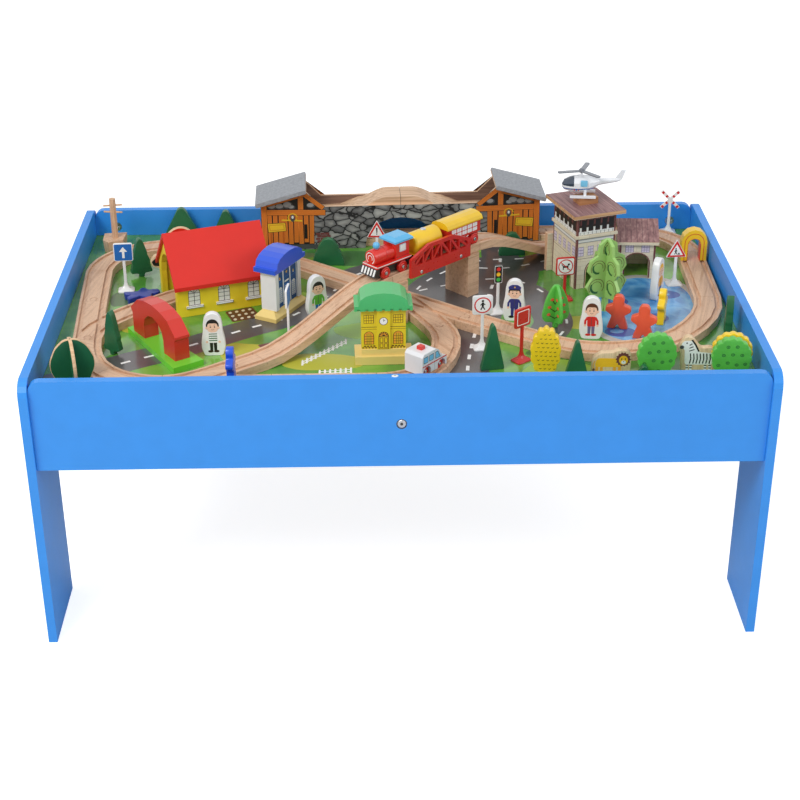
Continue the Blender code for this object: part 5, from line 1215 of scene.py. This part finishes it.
HOUSE_LONG, HOUSE_WIDE = 138, 104
front_wall = Pen("house", standing(*HOUSE, GROUND))
back_wall = Pen("house", standing(*turned_by(HOUSE, 180), GROUND)).moved(along=-HOUSE_LONG, out=HOUSE_WIDE)
for wall in (front_wall, back_wall):
    for share in (0.18, 0.50, 0.82):
        u = HOUSE_LONG * share
        wall.arch("ink_black", 1, u, 16.4, 8.7, 35, 8.7, 14)
        wall.arch("ink_pale", 2, u, 17.2, 8, 35, 8, 14)
        wall.bar("ink_black", 3, u, 0.4, 17.2, 42.8)
        for v in (23.5, 29.8, 35):
            wall.bar("ink_black", 4, u, 8, v, v + 0.6)
        for hand in (-1, 1):
            wall.line("ink_black", 4, [(u + hand * 0.2, 35.2), (u + hand * 5.6, 40.4)], 0.6)
        if wall is front_wall:
            sill = slab_outline(u - 12.6, 12.6, u + 12.6, 16.4)
            wall.block("white", sill, 0, 2.7, 0.3)
            outer, inner = inset(sill, 0.2), inset(sill, 0.7)
            rim = np.vstack([outer, sill[:1] + 0.2, inner[:1], inner[::-1]])
            wall.moved(out=2.7).area("ink_black", 1, rim)
    wall.box("ink_black", 1, 1.5, 45.8, HOUSE_LONG - 1.5, 46.3)

for pen in both_faces("bank", BANK, 22, GROUND):
    pen.bar("ink_white", 2, 0, 33.6, 69, 73.2)
    pen.bar("ink_deep_blue", 1, 0, 25.6, 14.2, 68.8)
    for hand in (-1, 1):
        u = hand * 18
        pen.box("ink_white", 2, hand * 8, 15.2, hand * 10.4, 69.2)
        pen.bar("ink_blue", 2, u, 7, 52, 52.8)
        pen.arch("ink_white", 2, u, 21, 5, 40, 5)
        pen.arch("ink_blue", 3, u, 21.8, 4.2, 40, 4.2)
        pen.panes("ink_pale", 4, (u - 3.9, 22.6), (2.2, 2.4), (2.8, 3.1), (3, 6))
        pen.area("ink_pale", 4, ellipse(u, 41.2, 3.6, 2.8, 12, 0, 180))
        pen.arch("ink_gold", 2, u, 56.6, 1.1, 59, 1.4)
        pen.bar("ink_white", 3, u, 1.3, 56, 56.8)
    star = ellipse(0, 0, 1, 1, 10, 90) * np.where(np.arange(10) % 2, 1.2, 2.8)[:, None]
    pen.area("ink_gold", 2, star + (0, 63))
    pen.bar("ink_blue", 2, 0, 7.2, 56, 56.7)
    pen.bar("ink_blue", 2, 0, 6.6, 15.5, 46.2)
    pen.bar("ink_white", 3, 0, 5.6, 48.4, 50.8)
    for hand in (-1, 1):
        pen.box("ink_white", 4, hand * 1, 33, hand * 5, 43)
        pen.box("ink_deep_blue", 5, hand * 1.8, 33.9, hand * 4.2, 42.1)
        pen.box("ink_deep_blue", 4, hand * 1, 18, hand * 5, 30)
    pen.dot("ink_gold", 5, 0, 31.4, 0.6, count=8)

for pen, bay_out in zip(both_faces("station", STATION, 26, GROUND), (3, 0)):
    for low, high in ((53, 53.7), (50, 50.4)):
        pen.bar("ink_dark_brown", 1, 0, 29.9, low, high)
    for hand in (-1, 1):
        u = hand * 19.7
        pen.bar("ink_brown", 1, u, 6.8, 58.8, 71.2)
        pen.panes("wall_yellow", 2, (u - 6.2, 59.4), (2.6, 3.2), (3.2, 4), (4, 3))
        for layer, (look, foot, half) in enumerate((("ink_brown", 27.5, 6.8), ("ink_orange", 28.2, 6),
                                                    ("ink_gold", 29, 3.6)), 1):
            pen.arch(look, layer, u, foot, half, 40.2, half)
        for shift in (-2.6, 0, 2.6):
            pen.bar("ink_brown", 4, u + shift, 0.3, 28.2, 44.6)
        for v in (31.8, 35.6, 39.6):
            pen.bar("ink_brown", 4, u, 6, v, v + 0.6)
        for row, v in enumerate((22.6, 25)):
            for step in np.arange(10.8 + 1.8 * row, 29, 4.2):
                pen.dot("ink_brown", 2, hand * step, v, 1.8, 1, 9)
    bay = pen.moved(out=bay_out)
    bay.arch("ink_dark_brown", 1, 0, 21.6, 7, 40.5, 7)
    bay.arch("ink_gold", 2, 0, 22.2, 6.2, 40, 0.4)
    for hand in (-1, 1):
        for low, high in ((23.6, 30), (31.2, 38.8)):
            bay.box("ink_brown", 3, hand * 0.8, low, hand * 5.2, high)
            bay.box("wall_yellow", 4, hand * 1.5, low + 0.7, hand * 4.5, high - 0.7)
    for way in ellipse(0, 0, 1, 1, 6, 15, 150):
        bay.line("ink_orange", 3, [way * 2.2 + (0, 41), way * 5.8 + (0, 41)], 1.1)
    bay.dot("ink_brown", 1, 0, 63, 5.8, count=28)
    bay.dot("ink_white", 2, 0, 63, 5, count=28)
    bay.line("ink_black", 3, [(0, 63), (2.2, 65.2)], 0.7)
    bay.line("ink_black", 3, [(0, 63), (-0.4, 66.8)], 0.6)


# Tower and garage

def four_walls(group, spot, wide, deep):
    """The outer faces of a block, with the width of each: front, left side, right side and back."""
    walls = []
    for along, inward, turn, width in ((0, 0, 0, wide), (0, deep, -90, deep), (wide, 0, 90, deep),
                                       (wide, deep, 180, wide)):
        _, corner = shifted(standing(*spot, GROUND), along=along, out=-inward)
        walls.append((Pen(group, standing(*corner[:2], spot[2] + turn, GROUND)), width))
    return walls


def corner_strips(pen, width, low, high):
    for u in (1.5, width - 1.5):
        pen.bar("ink_maroon", 1, u, 1.4, low, high)


TOWER_WIDE, TOWER_DEEP, TOWER_EDGE = 63, 79, 3
tower_walls = four_walls("tower", TOWER, TOWER_WIDE, TOWER_DEEP)
for pen, width in tower_walls:

    def course(look, layer, low, high):
        pen.box(look, layer, TOWER_EDGE, low, width - TOWER_EDGE, high)

    course("ink_dark_brown", 1, 84.8, 114.6)
    pitch = (width - 8) / 5
    for low in 4 + pitch * np.arange(5):
        pen.box("ink_maroon", 2, low + 1, 101, low + pitch - 1, 114)
        pen.box("ink_black", 3, low + pitch * 0.30, 93, low + pitch * 0.92, 108)
        pen.box("ink_pale", 4, low + pitch * 0.02, 90, low + pitch * 0.30, 96.8)
    course("ink_pale", 4, 85.2, 90.5)
    course("ink_white", 5, 89.8, 90.5)
    for u in np.linspace(5, width - 5, 9):
        pen.bar("ink_grey", 5, u, 0.4, 85.6, 89.6)
    course("ink_stone", 1, 72.6, 78.6)
    course("ink_pale", 2, 74, 77.2)
    corner_strips(pen, width, 0.4, 80)
    corner_strips(pen, width, 84.8, 114.6)
    windows = 4 if width == TOWER_WIDE else 5
    for u in width * (np.arange(windows) + 0.5) / windows:
        pen.bar("ink_beige", 1, u, 5.2, 51, 67.2)
        pen.bar("ink_purple", 2, u, 4.6, 51.8, 66.6)
        pen.panes("ink_lilac", 3, (u - 4.1, 52.3), (3.9, 4), (4.3, 4.8), (2, 3))
    course("ink_brown", 1, 47.4, 48)
tower_doors = ((34.65, 17, 26, 16), (TOWER_DEEP - 28.44, 13, 20, 13))
for (pen, _), (u, half, spring, rise) in zip(tower_walls, tower_doors):
    inner = door(u, 0.6, half, spring, rise, 14)
    for look, layer, rim in (("ink_dark_brown", 1, 2.6), ("ink_wood", 2, 1.2)):
        pen.area(look, layer, ring_of(door(u, 0.6, half + rim, spring, rise + rim, 14), inner))

for pen, width in four_walls("garage", GARAGE, 54, 60):
    corner_strips(pen, width, 0.4, 54)
    for u in (width * 0.28, width * 0.72):
        pen.bar("ink_purple", 1, u, 6.2, 41.6, 53.6)
        pen.panes("ink_lilac", 2, (u - 5.6, 42.1), (3.4, 3.2), (3.9, 3.8), (3, 3))
garage_front = Pen("garage", standing(*GARAGE, GROUND))
garage_front.area("ink_maroon", 3, ring_of(door(27, 0.6, 20, 24, 17.6, 14), door(27, 0.6, 18, 24, 16, 14)))


# Mine face: plank walls printed at both ends

def plank(pen, layer, start, end, width):
    """One printed board: a dark outline, an orange face, and three grain lines."""
    start, end = np.array(start, float), np.array(end, float)
    way = (end - start) / np.linalg.norm(end - start)
    side = np.array([-way[1], way[0]])
    pen.line("ink_black", layer, [start - way * 0.5, end + way * 0.5], width + 1)
    pen.line("ink_plank", layer + 1, [start, end], width)
    for share in (-0.26, 0.05, 0.30):
        shift = side * width * share
        pen.line("ink_plank_dark", layer + 2, [start + way * 1.2 + shift, end - way * 1.6 + shift * 0.8],
                 width * 0.07)


def mine_end(pen, side, bricks):
    """The print on one end of one face: the wall, its gable, a lamp, a notice board and rubble."""

    def at(u, v):
        return side * u, v

    def area(look, layer, *corners):
        pen.area(look, layer, [at(u, v) for u, v in corners])

    area("ink_black", 1, (136, 8), (210, 8), (210, 60), (136, 60))
    for index in range(9):
        u = 140 + index * 8
        plank(pen, 2, at(u, 9.5 + 2.5 * (index % 2)), at(u + index % 3 - 1, 59), 6.8)
    area("ink_black", 5, (146.5, 18), (151.2, 18), (151.2, 42), (146.5, 42))
    area("ink_black", 1, (128, 72), (152, 90.5), (212, 75.5), (212, 64), (128, 64))
    for u, v, ru, rv in ((140, 73, 7, 4.6), (176, 74.5, 8, 6.2), (188, 72.2, 8, 5), (200, 72, 7, 5),
                         (170, 70.8, 6, 3.6)):
        u, v = at(u, v)
        pen.dot("ink_dark_stone", 2, u, v, ru, rv, 12)
        pen.dot("ink_stone", 3, u - 0.8, v + 0.8, ru * 0.78, rv * 0.72, 12)
    for layer, start, end, width in ((4, (156, 64), (156, 90.5), 8), (6, (121, 68), (150, 91.5), 6.8),
                                     (6, (150, 91.5), (215, 73.5), 6.2), (8, (118, 61), (209, 63), 8.6),
                                     (10, (213, 6), (213, 74.5), 8.2)):
        plank(pen, layer, at(*start), at(*end), width)
    pen.line("ink_gold", 6, [at(154, 48), at(186, 50)], 2.2)
    pen.line("ink_gold", 11, ellipse(*at(169, 54), 7, 6.2, 20, 0, 340), 1.4)
    pen.dot("ink_dark_stone", 12, *at(169, 53), 3.6, 6.2, 16)
    pen.dot("ink_pale", 13, *at(169, 54.5), 1.8, 2.6, 12)
    plaque = anticlockwise([at(180, 32), at(207, 30), at(208, 44), at(181, 45)])
    for layer, (look, depth) in enumerate((("ink_black", -0.6), ("ink_gold", 0), ("ink_plank_dark", 2.2),
                                           ("ink_gold", 2.8)), 6):
        pen.area(look, layer, inset(plaque, depth))
    for u in (184, 203):
        pen.line("ink_plank_dark", 6, [at(u, 8), at(u, 30)], 2.2)
    area("ink_dark_stone", 5, (68, 1), (217, 1), (217, 6.6), (150, 8.6), (100, 6))
    if bricks:
        for row in range(4):
            for column in range(3):
                u, v = 110.5 + column * 7.2 + (row % 2) * 2, 11 + row * 4.2
                area("ink_maroon", 3, (u, v), (u + 6.6, v), (u + 6.6, v + 3.6), (u, v + 3.6))


MINE_DEEP = 54
for hand, group in ((-1, "mine_left"), (1, "mine_right")):
    front_face = Pen(group, standing(*MINE, GROUND))
    back_face = Pen(group, standing(*turned_by(MINE, 180), GROUND)).moved(out=MINE_DEEP)
    mine_end(front_face, hand, bricks=hand < 0)
    mine_end(back_face, -hand, bricks=hand < 0)


# Train and van

CHASSIS_HALF = 15
AXLE_UP = 6.3
WHEEL_OUT = 15.35


def hub(body, place):
    """A bright axle end with a raised ring round it, on the outer face of a wheel."""
    pen = Pen(body, place)
    pen.knob("red", [(5.8, -1.2), (5.8, 0.4), (5, 0.9), (4.4, 0.4), (4.4, -1.2)], 24)
    pen.knob("steel", [(2.6, -1), (2.6, 1), (2.1, 1.6), (0.8, 1.9)], 18)


def train_sides(name, origin, front_axle, rear_axle):
    """Puts hubs on a vehicle's wheels. Returns both its sides, with the sign of its forward way on each."""
    sides = []
    for forward in (-1, 1):
        side = standing(*origin, TRAIN_HEADING + 90 - 90 * forward, DECK_TOP)
        for label, u in (("front", front_axle), ("rear", rear_axle)):
            hub(f"{name}_{label}_wheels", shifted(side, along=forward * u, up=AXLE_UP, out=WHEEL_OUT))
        sides.append((side, forward))
    return sides


for side, forward in train_sides("loco", LOCO, 16, -17):
    pen = Pen("locomotive", side)
    pen.moved(out=CHASSIS_HALF).box("ink_white", 2, forward * -33.5, 17.8, forward * 31.5, 19)
    cab = pen.moved(out=13)
    left, right = sorted((forward * -25, forward * -12))
    window = softened(slab_outline(left + 0.2, 28.8, right - 0.2, 40.2), 1.8)
    cab.block("ink_lilac", window, -0.9, 0.3, 0.2)
    cab.block("ink_white", inset(window, 1.4), -0.9, 0.5, 0.2)
    cab.line("ink_maroon", 2, [(forward * -30, 22.2), (forward * -7.2, 22.2)], 0.5)
nose = Pen("locomotive", standing(*LOCO, TRAIN_HEADING + 90, DECK_TOP))
catcher = nose.moved(up=5, out=38, lean=-math.degrees(math.atan2(5, 11.5)))
for u in (-11.8, -6, 0, 6, 11.8):
    catcher.tile("ink_white", 3, u - 1.6, 1.2, u + 1.6, 11.2, 1.2)
nose.moved(out=32).box("ink_white", 2, -14.8, 17.6, 14.8, 19)
boiler = nose.moved(up=28.95)
boiler.knob("red", [(11.2, -9.8), (11.2, 29.6), (10.8, 31), (9.8, 31.6), (3, 31.6)], 40)
for out in (-8, 10):
    boiler.moved(out=out).knob("deep_red", [(10.8, -1), (11.6, -0.6), (11.6, 0.6), (10.8, 1)], 40)
boiler_end = boiler.moved(out=31.6)
boiler_end.line("ink_white", 2, ellipse(0, 0, 7.8, 7.8, 36, -60, 300), 1.1)
boiler_end.line("ink_white", 2, ellipse(0, -0.2, 4, 4, 26, -30, 240), 1)
Pen("locomotive", lying(*LOCO, TRAIN_HEADING, DECK_TOP)).moved(along=20, out=31).knob(
    "sky", [(2, 6.8), (2.6, 7.2), (3, 9.4), (4.6, 11.2), (5, 13.6), (4.6, 16), (3.4, 17.6), (1.2, 18.2)], 24)

train_sides("tank", TANK, 18, -18)
turns = np.radians(np.linspace(0, 90, 8))
cap_line = [(10 + 5.8 * math.sin(a), -26.7 + 5.2 * (1 - math.cos(a))) for a in turns]
barrel_line = cap_line + [(radius, -x) for radius, x in reversed(cap_line)]
tank_end = Pen("tank_car", standing(*TANK, TRAIN_HEADING + 90, DECK_TOP))
tank_end.moved(up=27.7).knob("yellow", barrel_line, 48)
Pen("tank_car", lying(*TANK, BRIDGE[2], DECK_TOP)).knob(
    "zinc", [(4.2, 42), (4.2, 43.8), (3.4, 44.6), (1.2, 44.9)])

for side, _ in train_sides("coach", COACH, 21, -21):
    pen = Pen("coach", side).moved(out=CHASSIS_HALF)
    for column in range(5):
        for low, high in ((19.6, 25), (26.2, 32)):
            u = -26.2 + column * 10.8
            pen.tile("ink_white", 1, u, low, u + 9.2, high, 0.8)
            pen.box("ink_lilac", 2, u + 4.3, low, u + 4.9, high)
    pen.line("ink_white", 1, flowing([(-8, 16), (-3, 14.2), (0, 16.4), (3, 14.2), (8, 16)], 5, False), 0.9)
for name, origin, reach in (("tank_car", TANK, 29), ("coach", COACH, 33)):
    Pen(name, standing(*origin, TRAIN_HEADING + 90, DECK_TOP)).moved(up=10).knob(
        "zinc", [(2.4, reach - 1), (2.4, reach + 1.6), (1.6, reach + 2.2)], 16)

for spot, forward in ((VAN, 1), (turned_by(VAN, 180), -1)):
    side = standing(*spot, TRACK_TOP)
    for label, x in (("front", 15), ("rear", -15)):
        hub(f"ambulance_{label}_wheels", shifted(side, along=forward * x, up=7.8, out=11.5))
    pen = Pen("ambulance", side).moved(out=15)
    pen.box("ink_red", 1, forward * -24.8, 16.6, forward * 25.8, 18.2)
    window = anticlockwise([(forward * u, v) for u, v in ((2, 20.5), (13, 20.5), (7.2, 31), (2, 31))])
    pen.area("ink_dark_stone", 1, softened(window, 1))
    pen.area("ink_sky", 2, softened(inset(window, 0.9), 0.8))
    for low, high in ((-22.5, -13), (-11, -1.5)):
        left, right = sorted((forward * low, forward * high))
        pen.tile("ink_dark_stone", 1, left, 21.5, right, 30.5, 1)
        pen.tile("ink_sky", 2, left + 0.8, 22.3, right - 0.8, 29.7, 0.8)
    pen.bar("ink_grey", 1, forward * 0.5, 0.2, 6, 33)
front = Pen("ambulance", standing(*turned_by(VAN, 90), TRACK_TOP)).moved(out=26)
for u in (-10.5, 10.5):
    front.moved(along=u, up=13.5).knob("ink_amber", [(2, -0.4), (2, 0.6), (1.2, 1)], 16)
front.bar("ink_dark_stone", 1, 0, 6, 7, 10.5)


# Yellow arch, bridge pins, helicopter and table fittings

lining = ring_of(door(0, 0.2, 10.1, 26, 10.1, 12), door(0, 0.2, 9.4, 26, 9.4, 12))
Pen("yellow_arch", standing(*YELLOW_ARCH, TRACK_TOP)).block("deep_red", lining, -8.1, 8.1, 0.1)
for pen in both_faces("yellow_arch", YELLOW_ARCH, 16, TRACK_TOP):
    pen.area("deep_red", 1, ring_of(door(0, 0.4, 15, 29, 15, 14), door(0, 0.4, 14, 29, 14, 14)))

for spot, forward in ((BRIDGE, 1), (turned_by(BRIDGE, 180), -1)):
    truss = Pen("bridge", standing(*spot, DECK_FOOT))
    for distance in (52, 132):
        pin = truss.moved(along=forward * distance, up=5.2, out=24.8)
        pin.knob("zinc", [(2.6, -0.6), (2.6, 0.4), (2, 1), (0.9, 1.2)], 18)
        pin.knob("deep_red", [(3.6, -0.6), (3.6, 0.2), (3.1, 0.3)])

for spot, forward in ((COPTER, 1), (turned_by(COPTER, 180), -1)):
    pen = Pen("helicopter", standing(*spot, COPTER_LEVEL)).moved(out=13.8)
    u = forward * 4
    pen.block("ink_sky", softened(slab_outline(u - 5, 17.8, u + 5, 26.2), 1.2), -4, 0.2, 0.3)
    for u, look in ((12, "ink_red"), (15, "ink_blue"), (18, "ink_red")):
        pen.block(look, ellipse(forward * u, 11.8, 0.7, count=8), -6, 0.1, 0.1)
Pen("rotor", lying(*COPTER, COPTER_LEVEL)).moved(along=8, out=39.5).knob(
    "rotor_grey", [(3, -0.2), (3, 1.2), (2.2, 2), (0.8, 2.2)])

cap = Pen("fittings", lying(-8.3, -298.5, 0, RIM_TOP))
cap.block("white", ellipse(0, 0, 4.4, 3.2, 24), -0.4, 0.7, 0.4)
cap.block("zinc", ellipse(0, 0, 1.4, count=16), -0.2, 0.9, 0.1)
for y, heading in ((-304, 0), (304, 180)):
    bolt = Pen("fittings", standing(0, y, heading, 334.7))
    # Painted shade: a dark ring round each bolt head and a dark hexagon at the bottom of its socket, for the
    # shade in the gap and the recess
    bolt.line("ink_dark_stone", 1, ellipse(0, 0, 6.55, 6.75, 36), 0.9)
    bolt.moved(out=-1.6).area("ink_dark_stone", 1, ellipse(0, 0, 2.1, 2.4, 6, 30))

pieces.make()


# Floor, camera and light

FLOOR_HALF = 14.0


def floor_board():
    """A wide floor, and a paper finish that glows a little for the camera so that it reads white."""
    mesh = bpy.data.meshes.new("studio_floor")
    corners = slab_outline(-FLOOR_HALF, -FLOOR_HALF, FLOOR_HALF, FLOOR_HALF)
    mesh.from_pydata([(x, y, 0) for x, y in corners.tolist()], [], [(0, 1, 2, 3)])
    floor = bpy.data.objects.new("studio_floor", mesh)
    bpy.context.scene.collection.objects.link(floor)
    paper = Finish("studio_paper", 0.9)
    fibre = paper.noise(paper.place(), 3.0, 2.0)
    paper.colour(paper.ramp(fibre, (0.3, (0.80, 0.80, 0.80, 1)), (0.7, (0.82, 0.82, 0.82, 1))))
    path = paper.node("ShaderNodeLightPath")
    item = path.socket.node
    seen = Wire(paper, item.outputs["Is Camera Ray"])
    glow = paper.mix(seen, (0.0, 0.0, 0.0, 1.0), (1.0, 1.0, 1.0, 1.0))
    paper.tree.links.new(glow.socket, paper.shader.inputs["Emission Color"])
    paper.shader.inputs["Emission Strength"].default_value = 0.7
    paper.shader.inputs["Specular IOR Level"].default_value = 0.0
    mesh.materials.append(paper.material)


floor_board()

SENSOR_WIDTH = 36.0
FOCAL_PIXELS = 1624.74
PHOTO_PIXELS = 800.0
EYE = (-0.0344, -2.1473, 1.3523)
YAW, PITCH, ROLL = (math.radians(value) for value in (-1.0035, -28.0465, -0.2669))
forward = np.array([-math.sin(YAW) * math.cos(PITCH), math.cos(YAW) * math.cos(PITCH), math.sin(PITCH)])
level = np.array([math.cos(YAW), math.sin(YAW), 0.0])
upright = np.cross(level, forward)
right = level * math.cos(ROLL) + upright * math.sin(ROLL)
upward = upright * math.cos(ROLL) - level * math.sin(ROLL)
lens = bpy.data.cameras.new("photo_camera")
lens.sensor_width = SENSOR_WIDTH
lens.lens = SENSOR_WIDTH * FOCAL_PIXELS / PHOTO_PIXELS
lens.clip_end = 60.0
camera = bpy.data.objects.new("photo_camera", lens)
bpy.context.scene.collection.objects.link(camera)
pose = np.eye(4)
pose[:3, :3] = np.array([right, upward, -forward]).T
pose[:3, 3] = EYE
camera.matrix_world = Matrix(pose.tolist())
bpy.context.scene.camera = camera

world = bpy.data.worlds.new("studio")
world.use_nodes = True
bpy.context.scene.world = world
tree = world.node_tree
sky = tree.nodes["Background"]
sky.inputs["Color"].default_value = (0.93, 0.96, 1.0, 1.0)
sky.inputs["Strength"].default_value = 0.58
plain = tree.nodes.new("ShaderNodeBackground")
plain.inputs["Color"].default_value = (1.0, 1.0, 1.0, 1.0)
plain.inputs["Strength"].default_value = 1.0
ray = tree.nodes.new("ShaderNodeLightPath")
either = tree.nodes.new("ShaderNodeMath")
either.operation = "MAXIMUM"
tree.links.new(ray.outputs["Is Camera Ray"], either.inputs[0])
tree.links.new(ray.outputs["Is Glossy Ray"], either.inputs[1])
blend = tree.nodes.new("ShaderNodeMixShader")
tree.links.new(either.outputs[0], blend.inputs[0])
tree.links.new(sky.outputs[0], blend.inputs[1])
tree.links.new(plain.outputs[0], blend.inputs[2])
tree.links.new(blend.outputs[0], tree.nodes["World Output"].inputs["Surface"])


def soft_box(name, place, target, size, power, tint=(1.0, 1.0, 1.0)):
    """A rectangular light that looks at a spot."""
    data = bpy.data.lights.new(name, "AREA")
    data.shape = "RECTANGLE"
    data.size, data.size_y = size
    data.energy = power
    data.color = tint
    item = bpy.data.objects.new(name, data)
    bpy.context.scene.collection.objects.link(item)
    aim = np.array(target, float) - np.array(place, float)
    aim /= np.linalg.norm(aim)
    side = np.cross(aim, (0.0, 0.0, 1.0))
    side /= np.linalg.norm(side)
    turn = np.eye(4)
    turn[:3, :3] = np.array([side, np.cross(side, aim), -aim]).T
    turn[:3, 3] = place
    item.matrix_world = Matrix(turn.tolist())


soft_box("key_light", (-1.5, -1.6, 2.3), (0.0, 0.0, 0.35), (1.3, 1.0), 46.0, (1.0, 0.98, 0.95))
soft_box("fill_light", (2.0, -1.2, 1.6), (0.0, 0.0, 0.35), (1.6, 1.2), 16.0, (0.95, 0.97, 1.0))

bpy.context.scene.view_settings.view_transform = "Standard"
